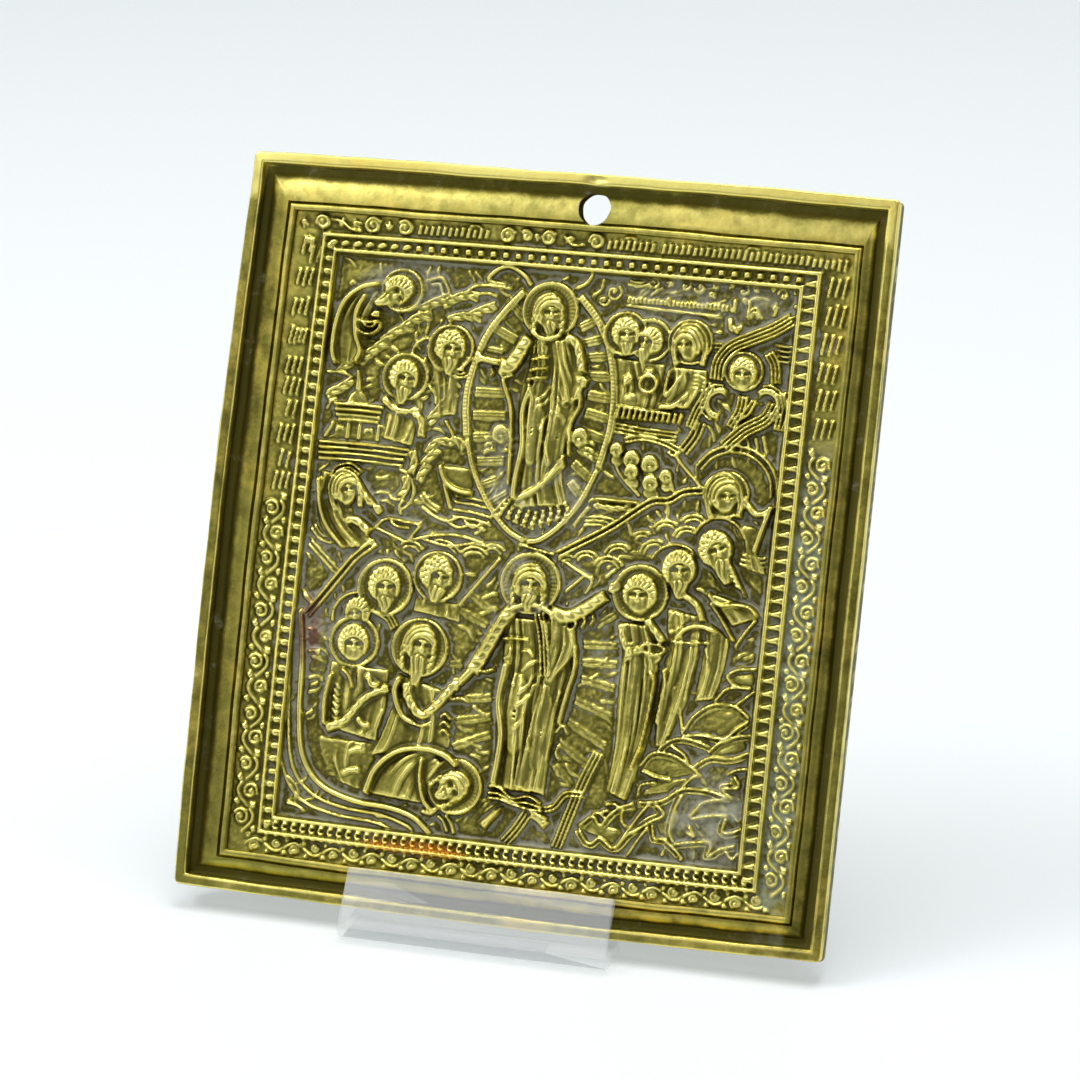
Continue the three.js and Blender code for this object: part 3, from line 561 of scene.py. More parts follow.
def drawSky(relief):
    # crags and clouds behind the upper figures
    drawRocks(relief, [
            [-32.5, 23.5, -30, 25.6, -27, 27.4], [-29.5, 25, -27, 27.6, -25, 29],
            [-26.5, 28.5, -24, 30.4, -21.6, 31.4],
            [-23.8, 30.4, -21.4, 32.4, -19, 33.2], [-21.5, 33.5, -19, 35, -16.4, 36.2],
            [-17.5, 34.8, -14.6, 36.4, -12, 36.6],
            [-34, 19.5, -32, 21, -29.8, 22.6], [-13.5, 33.2, -11.5, 34.4, -9.2, 35.4],
            [-16.5, 32.5, -14.2, 33.4, -11.2, 33.4],
            [-19.8, 19.5, -17.6, 22.5, -16.6, 25], [-18, 15.8, -16.4, 18.6, -14.4, 21.6],
            [-17.6, 17.2, -15.4, 20, -13.4, 22],
            ])
    relief.bundle([-22.8, 33.3, -21, 34.1, -19.2, 33.9], 3, 0.62)
    relief.strokes([
            [-20.2, 38.4, -18.2, 39, -17.2, 37.8, -16.4, 36.4, -15, 36],
            [-19.8, 37.8, -18.4, 38, -17.8, 36.8, -17.2, 35.8],
            [-14.4, 36.9, -12.6, 38.2, -10, 38.4, -7.2, 38.2], [-13.8, 36.3, -11.4, 37.2, -9.4, 37],
            [-21.4, 27.2, -21, 28.6, -19.8, 29.6, -18.6, 29.8],
            [-34.6, 23.5, -32.5, 23.6, -30.5, 23.2],
            [-34.2, 20.4, -33, 21.2, -31.4, 21.4], [-33.6, 18.9, -32.2, 19.6],
            [-19.4, 27, -18.4, 25.4, -18.6, 23.8], [-17.8, 24.4, -16, 25.4, -14.4, 24.6],
            [-16.4, 22.6, -14.4, 23.6, -13, 22.8],
            ], 0.5, 0.45)
    relief.ribbons(
            ([-11.2, 39.2, -9.4, 41, -7.4, 41.4, -5.2, 40.2, -4.1, 38.8], 0.85, 0.7, 0.05),
            ([-11.2, 39.2, -9.6, 38.9, -8, 38.7], 0.6, 0.5, 0.05),
            ([2.6, 38.9, 4.2, 39.8, 5, 41.2, 4.6, 42.4], 0.7, 0.6, 0.05))
    # curls and buds along the top edge
    for x, y, r, start, turn in ((8.6, 38.9, 1.3, 60, -420), (7.2, 37.6, 0.9, 20, -380),
            (14.6, 40.9, 0.9, 200, 380), (19.4, 40.8, 1.0, 140, -380),
            (21.6, 40.7, 0.9, 180, 360), (28.2, 40.8, 1.0, 150, -380),
            (30.2, 41.2, 0.8, 30, 330), (34.2, 40.6, 0.9, 180, -360)):
        curl(relief, x, y, r, start, turn, 0.5, 0.5)
    relief.bundle([10.6, 40.6, 12.6, 40.4, 14.4, 41.4], 2, 0.6)
    for x, y, length, angle in ((17.6, 40.8, 1.4, 160), (23.4, 41, 1.5, 20), (26.8, 41.2, 1.4, 150),
            (32.4, 41, 1.4, 60), (35.6, 41, 1.4, 20), (36, 39.4, 1.3, -40),
            (17.2, 38.9, 1.2, 250), (23.2, 40.2, 1.2, -60), (28.4, 39.8, 1.2, -80),
            (33, 39, 1.2, -70)):
        leafLet(relief, x, y, length, angle, 0.5)
    for k, x in enumerate(np.arange(11.3, 26.8, 1.25)):
        strokeGroup(relief, x, 38.0, 1.25, 1.25, 2, 400 + k)
    relief.ribbon([10.6, 37.1, 18, 36.9, 25.5, 36.6], 0.4, 0.3)
    for x in (26.8, 29.2, 33.2):
        relief.ribbon([x, 39.4, x + 0.1, 38.4, x - 0.1, 37.3], 0.5, 0.5, ends=0.2)
    relief.strokes([[29, 36.8, 30.2, 38.4, 31.4, 36.9], [29.6, 36.9, 30.2, 37.7, 30.9, 36.9]],
            0.4, 0.4)


def drawAlmond(relief):
    # the almond of light: a ribbed rim, bars of rays inside it, wings at its foot
    left = [-5.0, 38, -7.6, 34.8, -10.0, 31, -11.6, 26, -12.1, 21, -11.4, 15.5, -9.6, 10.4, -6.8, 5.8,
            -3.6, 2.4, -0.6, 0.9]
    right = [3.4, 38, 6.8, 34.4, 9.2, 29.6, 10.4, 24, 10.4, 18.6, 9.2, 12.6, 7.0, 7.4, 4.4, 3.8, 1.6, 1.4,
            -0.6, 0.9]
    relief.cloth(left, right, 1, -0.02, 0.12, 0, 0)
    rays = [((-7.4, 36.6), (-4, 33.4)), ((-9.2, 32.2), (-5.2, 30.4)), ((-10.2, 28.8), (-7.2, 28.4)),
            ((-11, 22.4), (-5.4, 22.6)), ((-11, 18.9), (-5.6, 19.2)),
            ((-10.6, 15.6), (-6.8, 16)), ((-9.6, 12), (-5.2, 12.6)), ((-8.6, 8.4), (-6, 9.6)),
            ((-6.6, 6), (-4, 7.8)),
            ((4, 33.2), (7.2, 35)), ((4.4, 30.8), (8.2, 32)), ((5, 28.8), (9, 29.4)),
            ((5.6, 26.2), (9.7, 26.3)), ((6.2, 23.4), (10, 23.1)), ((6.2, 20.8), (10, 20.1)),
            ((6, 18), (9.6, 17)), ((5.6, 15.6), (9, 14)), ((5.2, 13.2), (8.2, 11)), ((5, 10.4), (7, 8.4))]
    for start, end in rays:
        middle = ((start[0] + end[0]) / 2, (start[1] + end[1]) / 2)
        relief.ribbon([start, middle, end], 1.5, 0.4, 0.02, "triple", ends=0.15)
    relief.ribbons(
            (left[:12], 1.3, 0.58, 0.1, "ribbed"),
            (left[10:], 0.9, 0.62, 0.1, "ribbed"),
            (right[:12], 1.3, 0.58, 0.1, "ribbed"),
            (right[10:], 0.95, 0.62, 0.1, "ribbed"))
    # winged heads in the glory's lower half
    for x, y, tilt in ((-6.2, 16.4, 12), (5.9, 17, -12)):
        relief.head(x, y, 1.35, tilt, 0.3, 0.35, 0.7, "curls")
        for out in (-1, 1):
            for row in range(3):
                relief.ribbon([x + out * 0.6, y - 1.1 - row * 0.6, x + out * 1.5, y - 0.6 - row * 0.9,
                        x + out * 2.4, y - 0.9 - row * 1.1], 0.6, 0.5, 0.2, "feather", ends=0.3)
    for x in np.linspace(-4.6, 5.2, 9):
        y = 3.0 + 0.34 * abs(x)
        relief.ribbon([x * 0.8 + 0.4, y + 2.8, x + 0.1, y + 1.2, x - 0.4, y - 0.3], 0.95, 0.85, 0.15,
                "feather", taper=(0.8, 1), ends=0.4)
    for x in (-6.4, -5.4, 6.4):
        relief.ribbon([x, 3.8, x + 0.9, 5.2, x + 2.2, 7], 0.7, 0.6, 0.15, "crest", ends=0.4)


def drawTallFigure(relief):
    # the tall central figure of the upper scene
    relief.halo(-0.7, 35.4, 4.3, 0.2, 0.2)
    relief.cloth([-3.4, 31, -3.0, 27, -3.9, 22, -3.4, 15, -3.5, 9, -3.2, 5.6],
            [3.6, 31.2, 5.0, 26, 5.2, 21, 4.2, 16, 4.0, 11, 5.2, 6.8],
            6.5, 0.45, 0.75, 0.34, 0.35, -0.2, seed=3)
    relief.knob(-1.3, 17.4, 2.0, 0.6, 0, 2.6, 4, "onto")
    relief.knob(2.6, 17.0, 1.7, 0.35, 0, 3.0, -6, "onto")
    relief.cloth([0.7, 31.2, 0.4, 28, 1.4, 24, 2.6, 21.4],
            [2.9, 31.4, 4.6, 28, 5.8, 25.4, 5.4, 22.6], 4, 0.75, 0.75, 0.36, 0.2, seed=4)
    relief.ribbons(
            ([-2.2, 24, -3.0, 20, -2.5, 15, -3.0, 10, -3.0, 6.6], 1.15, 1.35, 0.25),
            ([-2.7, 24.6, -1.6, 21, -2.2, 17], 0.8, 1.25, 0.25))
    for y, x in ((28.2, -2.7), (26.6, -2.9), (25.2, -3.2)):
        relief.ribbon([x, y - 0.5, -1.4, y, 0.2, y + 0.1], 0.66, 1.42, 0.2, ends=0.3)
    relief.bundle([-1.6, 30.2, -1.5, 29.2, -1.6, 28.6], 4, 0.6, 0.32, 1.15, 0.2)
    relief.strokes([[-1, 21.8, 0.2, 23, 0.8, 24.4], [-0.8, 20.8, 0.4, 21.8, 1.4, 23.4],
            [0.2, 17.2, 0.5, 19, 1.6, 20.6], [-0.4, 18.4, 0, 17.4],
            [2, 22.6, 3.4, 21.4, 4.6, 22.6], [2.2, 20.2, 3.2, 19.6, 3.4, 18.6],
            [0.6, 16, 1.6, 12.6, 1.2, 9]], 0.4, 0.22, 0, "round", "onto")
    relief.cloth([-2.4, 8.2, 0.6, 10.4, 3.9, 14.6], [-2.8, 6.4, 1.2, 8.6, 4.4, 12.4], 2.4, 0.7,
            0.7, 0.3, 0.15, seed=5)
    relief.ribbons(
            ([5.0, 24.6, 5.5, 21.8, 4.4, 18.6, 4.6, 14], 0.7, 0.9, 0.3),
            ([-6.9, 24.9, -5.0, 20, -4.4, 14, -4.1, 9], 0.7, 0.55, 0.3))
    # arms: one raised to the left, one folded over the mantle
    relief.ribbon([-3.4, 31.2, -4.7, 28.6, -6.0, 26.6, -7.6, 26.6], 2.5, 1.15, 0.45, "sleeve",
            taper=(0.8, 1.05))
    relief.ribbon([-7.4, 27, -8.9, 27.2, -10.2, 27.4], 1.15, 0.8, 0.5)
    relief.hand(-10.3, 27.4, 1.0, 168, 0.7, 0.4)
    relief.strokes([[-8.8, 26.2, -8.4, 25.4, -8.9, 24.9], [-7.7, 25.8, -6.6, 24.9, -5.2, 25.4]],
            0.5, 0.6, 0.35)
    relief.ribbon([2.0, 31.6, 3.8, 30.8, 4.8, 28.4, 5.2, 26.4], 1.6, 1.0, 0.55, "sleeve")
    relief.hand(5.0, 25.4, 1.05, -20, 0.9, 0.45)
    relief.ribbon([-3.3, 32.4, -1.9, 31.3, -0.3, 31.1, 1.6, 32], 1.0, 1.0, 0.4, "sleeve")
    relief.head(-0.9, 35.2, 2.55, 4, 0.35, 0.55, 1.15, "long", 0.35, 7)


def drawBowing(relief):
    # the bent figure in the upper left corner, its bowl, and the little temple below it
    relief.halo(-24.0, 36.6, 3.3, 0.2, 0.2)
    relief.cloth([-28.4, 37.4, -31.6, 35.4, -33.6, 31, -33.8, 27, -33.0, 24.6],
            [-27.4, 36, -28.4, 33.4, -29, 30, -28.8, 27, -29.4, 25.2],
            3, 0.3, 0.55, 0.25, 0.2, seed=11)
    relief.ribbons(
            ([-27.4, 37.4, -30.2, 36.6, -32.6, 34.4, -33.6, 31, -33.7, 27, -33.0, 24.8], 1.0, 1.1, 0.3),
            ([-29.4, 35.8, -30.6, 33, -30.4, 29.6, -29.4, 27, -30, 25], 0.95, 1.15, 0.3),
            ([-30.8, 31.8, -29, 31.4, -26.8, 31.7], 0.6, 1.1, 0.3))
    relief.ring(-28.6, 31.6, 2.0, 0.55, 1.0, 0.3, start=180, turn=180)
    relief.ring(-28.4, 31.9, 1.2, 0.45, 1.1, 0.3, start=180, turn=180)
    relief.hand(-28.0, 32.6, 0.8, 10, 0.7, 0.4)
    relief.head(-24.6, 36.6, 2.35, -62, 0.5, 0.5, 1.1, "short", 0.55, 21)
    # temple: spire, dome, layered roof, arcade and stepped base
    relief.ribbon([-29.4, 24.2, -29.1, 22.6, -29, 21], 1.1, 0.8, 0.1, taper=(0.35, 1.3), ends=0.2)
    relief.cloth([-31, 18.8, -30.2, 20.4, -29.2, 21.2], [-27, 18.8, -27.9, 20.4, -28.8, 21.2],
            2, 0.15, 0.6, 0.1, 0)
    for y, x0, x1 in ((18.8, -32.7, -24.6), (18.0, -32.5, -24.9), (17.2, -32.2, -25.0), (16.5, -31.8, -25.2)):
        relief.ribbon([x0, y, (x0 + x1) / 2, y + 0.05, x1, y], 0.66, 0.62, 0.12, ends=0.2)
    relief.ribbon([-32.2, 14.8, -28.6, 14.8, -25, 14.8], 3.0, 0.16, 0.04, "flat", ends=0.1)
    for x in (-32.4, -30.0, -28.2, -25.2):
        relief.ribbon([x, 16.2, x - (0.5 if x < -32 else 0), 14.8, x - (1.2 if x < -32 else 0), 13.6], 0.55,
                0.45, 0.1, ends=0.2)
    for x in (-31.2, -26.7):
        relief.ring(x, 14.6, 0.72, 0.4, 0.4, 0.1, start=0, turn=180)
    relief.strokes([[-25, 16.2, -23.6, 15, -22.4, 13.8]], 0.45, 0.4)
    for y, x0, x1 in ((12.9, -34.4, -20.0), (12.1, -34.4, -20.2), (11.3, -34.4, -20.6), (10.4, -34.2, -20.8)):
        relief.ribbon([x0, y, (x0 + x1) / 2, y + 0.12, x1, y - 0.05], 0.56, 0.52, 0.12, ends=0.2)


def drawGreeters(relief):
    # the haloed figures between the temple and the glory
    relief.cloth([-25.4, 21.6, -24.6, 18.2, -25.0, 14.4],
            [-19.0, 22.4, -18.6, 18.2, -19.8, 13.4], 4, 0.2, 0.6, 0.22, 0.3, seed=31)
    relief.ribbons(
            ([-20.0, 18.6, -18.6, 17.2, -18.4, 14.8], 1.3, 0.9, 0.3, "sleeve"),
            ([-25, 20.4, -23, 18.8, -20.6, 18.4], 1.2, 0.85, 0.35, "sleeve"))
    relief.hand(-20.4, 18.6, 0.85, -10, 0.7)
    relief.halo(-21.9, 23.7, 3.6, 0.25, 0.2)
    relief.head(-22.0, 23.6, 2.45, -6, 0.3, 0.5, 1.1, "short", 0.5, 32)
    relief.cloth([-18.8, 26, -17.4, 22.4, -16.6, 18.2], [-13.4, 26.4, -13.2, 22.4, -13.4, 18.8],
            3.5, 0.15, 0.6, 0.22, 0.3, seed=33)
    relief.halo(-15.4, 28.5, 3.6, 0.25, 0.2)
    relief.head(-15.4, 28.6, 2.5, -4, 0.35, 0.5, 1.1, "curls", 0.45, 34)
    relief.bundle([-14.8, 25.2, -13.4, 24.8, -12.6, 25.2], 3, 0.55, 0.36, 0.6, 0.3)
    relief.strokes([[-18.2, 22.8, -17, 21.4, -16.8, 20], [-13.2, 27.4, -12, 27.2, -11.2, 27.3],
            [-15, 17.8, -14, 16.4, -13.4, 15.4]], 0.5, 0.6, 0.2)
    # crags and a stepped hill below them
    drawRocks(relief, [[-19.8, 12.8, -19.2, 11, -19.6, 9.2], [-20.4, 9, -20, 7.2, -20.8, 5.6],
            [-17.2, 12.4, -16, 14.2, -14, 14.6],
            [-17.8, 10.6, -16.2, 12.4, -15.4, 13.4],
            [-18, 8.2, -17.4, 10, -16.6, 11],
            [-14.2, 14.2, -12.8, 14.8, -11.6, 13.6]], 1.3, 0.5)
    relief.bundle([-17.4, 6.4, -16, 5, -14.4, 4.2], 2, 0.6)
    # a thrown-back tomb lid and the bench behind it
    relief.cloth([-15.2, 11, -14.6, 8.4, -12.4, 6.6], [-9.8, 10.8, -9.6, 9, -9.8, 7.4], 1, 0.2,
            0.35, 0, 0)
    relief.ribbons(
            ([-15.0, 11.2, -13.9, 8.8, -12, 7.5, -9.4, 7.2], 0.85, 0.95, 0.2),
            ([-14.4, 9.2, -13.4, 6.8, -12.6, 4.6], 0.75, 0.6, 0.15))
    for y in (6.6, 5.8, 4.6, 3.6):
        relief.ribbon([-12.4, y, -9.4, y - 0.15, -6.2, y - 0.7], 0.4, 0.34, 0.1)
    relief.strokes([[-17.2, 4.6, -15.2, 3.4, -13, 2.8, -11, 3.6],
            [-13.4, 3, -11.2, 2, -9, 2.6, -7, 2], [-10.4, 3.2, -9, 2.2, -7.4, 3]], 0.45, 0.4)


def drawRecumbent(relief):
    # the veiled figure lying at the left, one hand raised, with an open book
    relief.cloth([-33.4, 8.4, -33.6, 4, -32.4, 0, -29.2, -3],
            [-28.6, 8.6, -27.8, 3, -25.6, 0.2, -23.2, -1.8], 4.5, 0.25, 0.7, 0.3, 0.25, seed=41)
    relief.ribbons(
            ([-33.6, 7.6, -32.8, 3.2, -31.2, 0, -28.4, -2.8], 0.8, 1.0, 0.3),
            ([-28.8, 1.4, -26.8, 1.4, -24.6, -0.2], 1.5, 1.0, 0.4, "sleeve"),
            ([-27.4, 7.2, -26.2, 5.6, -24.6, 4.0], 1.3, 1.0, 0.4, "sleeve"))
    relief.hand(-24.2, 3.8, 0.9, -42, 0.7)
    relief.head(-29.2, 6.0, 2.2, 16, 0.5, 0.55, 1.1, "veil", 0, 42)
    relief.bundle([-31.4, 7.4, -30.8, 9, -28.8, 9.6, -27, 8.6], 2, 0.6, 0.4, 0.9, 0.3)
    relief.strokes([[-24.2, 0.6, -22.4, 2.2, -19.6, 2.1, -16.9, 1.8],
            [-24, 0.8, -21.4, -0.1, -18.9, -1], [-16.9, 1.8, -17.9, 0.4, -18.7, -1],
            [-21.8, 2.0, -20.6, 1.3, -18.6, 1.2]], 0.55, 0.6, 0.1)
    relief.ring(-22.0, 6.6, 3.3, 0.4, 0.35, 0.1, start=-70, turn=150)
    relief.strokes([[-22.4, 5.6, -21.4, 5.2, -20.4, 5.4], [-20.2, 3, -20.6, 4.2, -20, 5.4]],
            0.5, 0.5)
    relief.bundle([-33.8, 0, -32, -1.6, -29.4, -1.8], 2, 0.7)
    relief.bundle([-34, -2.4, -31.4, -4.6, -28.8, -6.8], 2, 0.7)
    relief.bundle([-23.6, -1.4, -26.4, -3.8, -28.6, -6.8, -33.2, -13.4], 2, 0.85, 0.5, 0.5, 0.2)
    relief.ribbon([-34.2, -10.2, -33.2, -11, -32.4, -12], 0.8, 0.4, 0.1)


def drawRightGroup(relief):
    # three veiled and haloed figures to the right of the glory, and the bench before them
    relief.cloth([9.8, 29.4, 10.6, 26, 10.8, 22.4], [17.6, 28.8, 18.4, 25, 18.2, 21.8], 5, 0.25,
            0.55, 0.24, 0.3, seed=51)
    relief.halo(15.0, 32.3, 3.2, 0.2, 0.15)
    relief.head(15.1, 32.0, 2.1, -10, -0.5, 0.35, 1.0, "short", 0.4, 52)
    relief.halo(11.2, 32.9, 3.3, 0.3, 0.2)
    relief.head(11.3, 32.9, 2.3, 2, 0.2, 0.55, 1.1, "curls", 0.25, 53)
    relief.halo(21.1, 32.5, 3.4, 0.25, 0.2)
    relief.cloth([18.3, 28.8, 18.6, 26.4, 17.6, 22.6], [24.2, 28.6, 24.4, 25.4, 22.6, 22.6], 4,
            0.35, 0.65, 0.26, 0.3, seed=54)
    relief.head(21.1, 32.2, 2.3, 4, -0.5, 0.55, 1.1, "veil", 0, 55)
    relief.strokes([[18.6, 28.2, 18.2, 26.2, 18, 24.2], [21.2, 28.6, 19.8, 26.4, 18.1, 24]],
            0.7, 0.65, 0.45)
    relief.ring(15.5, 25.8, 1.25, 0.7, 0.7, 0.5)
    relief.hand(15.5, 27.0, 0.8, 90, 0.75)
    relief.hand(12.1, 25.8, 0.9, 60, 0.7)
    relief.ribbon([17.2, 22.6, 19.6, 22.9, 21.8, 25], 1.0, 0.75, 0.4, "sleeve")
    relief.knob(13, 23.2, 1.2, 0.6, 0.3)
    for x in np.arange(11.4, 21.2, 0.86):
        relief.ribbon([x + 0.1, 22, x, 21.2, x - 0.2, 20.3], 0.6, 0.75, 0.25, ends=0.2)
    relief.ribbon([10.9, 22.2, 15, 21.9, 19.4, 21.7], 0.5, 0.85, 0.2)
    relief.bundle([11, 19, 15, 18.6, 20.6, 18.4], 3, 0.62, 0.36, 0.4, 0.15)
    relief.bundle([12.6, 17.2, 15.4, 17.8, 18.6, 17.4, 21.6, 16.2], 2, 0.62, 0.4, 0.45, 0.15)
    relief.bundle([23.8, 21, 23.2, 18.8, 21.6, 16.2], 3, 0.7, 0.42, 0.5, 0.15)
    # the winged face at the right, wings about a halo
    for points, count in (([25.6, 27.2, 25.8, 30, 27.4, 32.3, 30.4, 33.9, 33.4, 35.4, 36, 37.2],
            4), ([32.9, 32.0, 34.1, 30.2, 34.5, 27.4], 3),
            ([24.8, 27, 24.2, 24.6, 23.2, 22.4, 22.4, 19.8], 3),
            ([34.8, 24.6, 33.6, 22.2, 30.6, 20.2, 27.8, 17.4], 4),
            ([29.9, 25.4, 29.6, 22.9, 28.4, 20.4], 3),
            ([35.4, 26.4, 36.0, 23.6, 35.6, 20.6], 3)):
        relief.bundle(points, count, 0.58, 0.46, 0.72, 0.25)
    for x, y, r, first in ((26.4, 23.9, 1.9, 60), (33.4, 24.4, 1.9, -80)):
        relief.ring(x, y, r, 1.1, 0.62, 0.25, "ribbed", first, 215)
        relief.ring(x, y, r + 0.85, 0.36, 0.7, 0.25, start=first + 20, turn=170)
    relief.ribbon([34, 37, 35.6, 37.2, 36.8, 38], 0.5, 0.5, 0.1)
    relief.halo(29.6, 28.9, 2.9, 0.35, 0.2)
    relief.head(29.6, 28.6, 2.2, 0, 0, 0.6, 1.1, "curls", 0, 56)
    relief.ribbon([26.6, 36.6, 27, 35.2, 28.4, 34.8], 1.5, 0.8, 0.2, "twisted", taper=(0.5, 1))
    relief.ribbon([27, 37.4, 27.2, 38.6, 27, 39.6], 0.6, 0.6, 0.1)
    for k in range(4):
        relief.ribbons(
                ([33.9 + 0.2 * k, 33.2 - 0.75 * k, 35.2, 33.1 - 0.75 * k, 36.6 - 0.1 * k, 33.1 - 0.75 * k],
                0.45, 0.55, 0.1),
                ([24.6, 32.6 - 0.62 * k, 25.3, 32.7 - 0.62 * k, 26, 32.6 - 0.62 * k], 0.4, 0.5, 0.1),
                ([22.2, 27.6 - 0.6 * k, 23.2, 27.5 - 0.6 * k, 24.2, 27 - 0.6 * k], 0.4, 0.5, 0.5),
                ends=0.2)
    relief.bundle([28.8, 21.4, 30.6, 22.8, 31.6, 24.8], 2, 0.6, 0.4, 0.5, 0.3)
    for k in range(5):
        relief.ribbon([28.6 + 1.2 * k, 18.6 + 0.3 * k, 29.2 + 1.2 * k, 17.6, 28.9 + 1.3 * k, 16.6], 0.45,
                0.4, 0.1, "crest", ends=0.3)


def drawCrowd(relief):
    # the small heads, the boat-like tomb and the long slope at the right of the middle
    for x, y, r, turn in ((11.8, 15.6, 0.95, -0.3), (14.2, 14.4, 1.15, 0.2), (14.4, 12.6, 1.0, -0.2),
            (17.0, 13.9, 1.2, 0.3), (17.4, 11.2, 1.1, 0.2), (19.6, 12.4, 0.9, 0.4)):
        relief.knob(x + 0.2, y - 1.4, r * 1.2, 0.55, 0.1, 0.8, -20)
        relief.head(x, y, r * 1.15, 4, turn, 0.3, 0.85, "curls", 0, int(x * 10))
    relief.ribbons(
            ([11.2, 14.8, 12.8, 12, 16, 9.2], 0.5, 0.4, 0.1),
            ([8.2, 7.6, 9.4, 8.2, 12.6, 8.2, 16, 8.2], 0.55, 0.6, 0.1),
            ([9, 7.4, 12, 7.1, 15, 7.4], 1.0, 0.4, 0.1, "leafy"))
    for y in (5.4, 4.8, 4.2):
        relief.ribbon([7.8, y, 10.4, y + 0.2, 13 - (5.4 - y), y - 0.1], 0.36, 0.32, 0.08)
    relief.bundle([4.4, -0.6, 8, 1.6, 12.4, 4.4, 17.6, 8.4, 20.4, 9, 22.6, 10.4, 25.4, 10.9],
            2, 0.78, 0.5, 0.55, 0.15)
    relief.strokes([[20.6, 15.8, 22, 14.2, 24.6, 11.8, 25.6, 11],
            [19.4, 16.2, 20.4, 15.6, 21.4, 16.4], [20.2, 12.6, 20.6, 11.4, 21, 10.2]], 0.6, 0.5,
            0.15)
    relief.strokes([[14.6, 5.2, 15, 4.2, 15.4, 3.4], [20.2, 9.2, 20.4, 7.6, 20.4, 5.8]], 0.4, 0.3)
    # layered clouds under the slope
    drawArcs(relief, [(17.2, 1.9, 2.2, 60, 80), (20.6, 3.4, 2.6, 50, 95), (24.6, 4.6, 2.6, 45, 100),
            (19.2, 0.6, 2.4, 60, 110), (23.8, 3.0, 2.4, 60, 100),
            (13.8, -0.6, 2.5, 50, 110), (9.0, -1.9, 2.3, 40, 110), (12.4, -2.7, 2.6, 30, 120),
            (6.2, -2.3, 1.8, 60, 90)], 0.42, 0.42, 0.1, 0.62)
    # the figure in the double arch at the right edge, with its staff
    relief.ring(29.8, 11.2, 6.7, 0.5, 0.55, 0.15, start=-5, turn=158)
    relief.ring(29.8, 11.2, 5.8, 0.45, 0.5, 0.15, start=-5, turn=158)
    relief.halo(28.9, 10.6, 3.5, 0.2, 0.2)
    relief.ribbon([29.6, 11.8, 31.6, 10, 33.6, 8.2, 35, 8.4], 1.5, 0.85, 0.3, "sleeve", taper=(1, 0.6))
    relief.head(28.7, 10.4, 2.4, 8, 0.4, 0.5, 1.1, "veil", 0, 61)
    relief.ribbon([35.9, 9.6, 35, 6.4, 34, 2.4], 0.85, 0.9, 0.3, "flat", ends=0.3)
    relief.hand(35.2, 8.0, 0.8, 70, 0.9)
    relief.cloth([31.8, 6.4, 32.6, 3, 33, 0], [34.8, 6, 34.2, 3, 36.4, -0.6], 2, 0.15, 0.4, 0.2,
            0.2, seed=62)
    relief.bundle([32, 1.4, 34, 1, 36, 1.2], 3, 0.7)


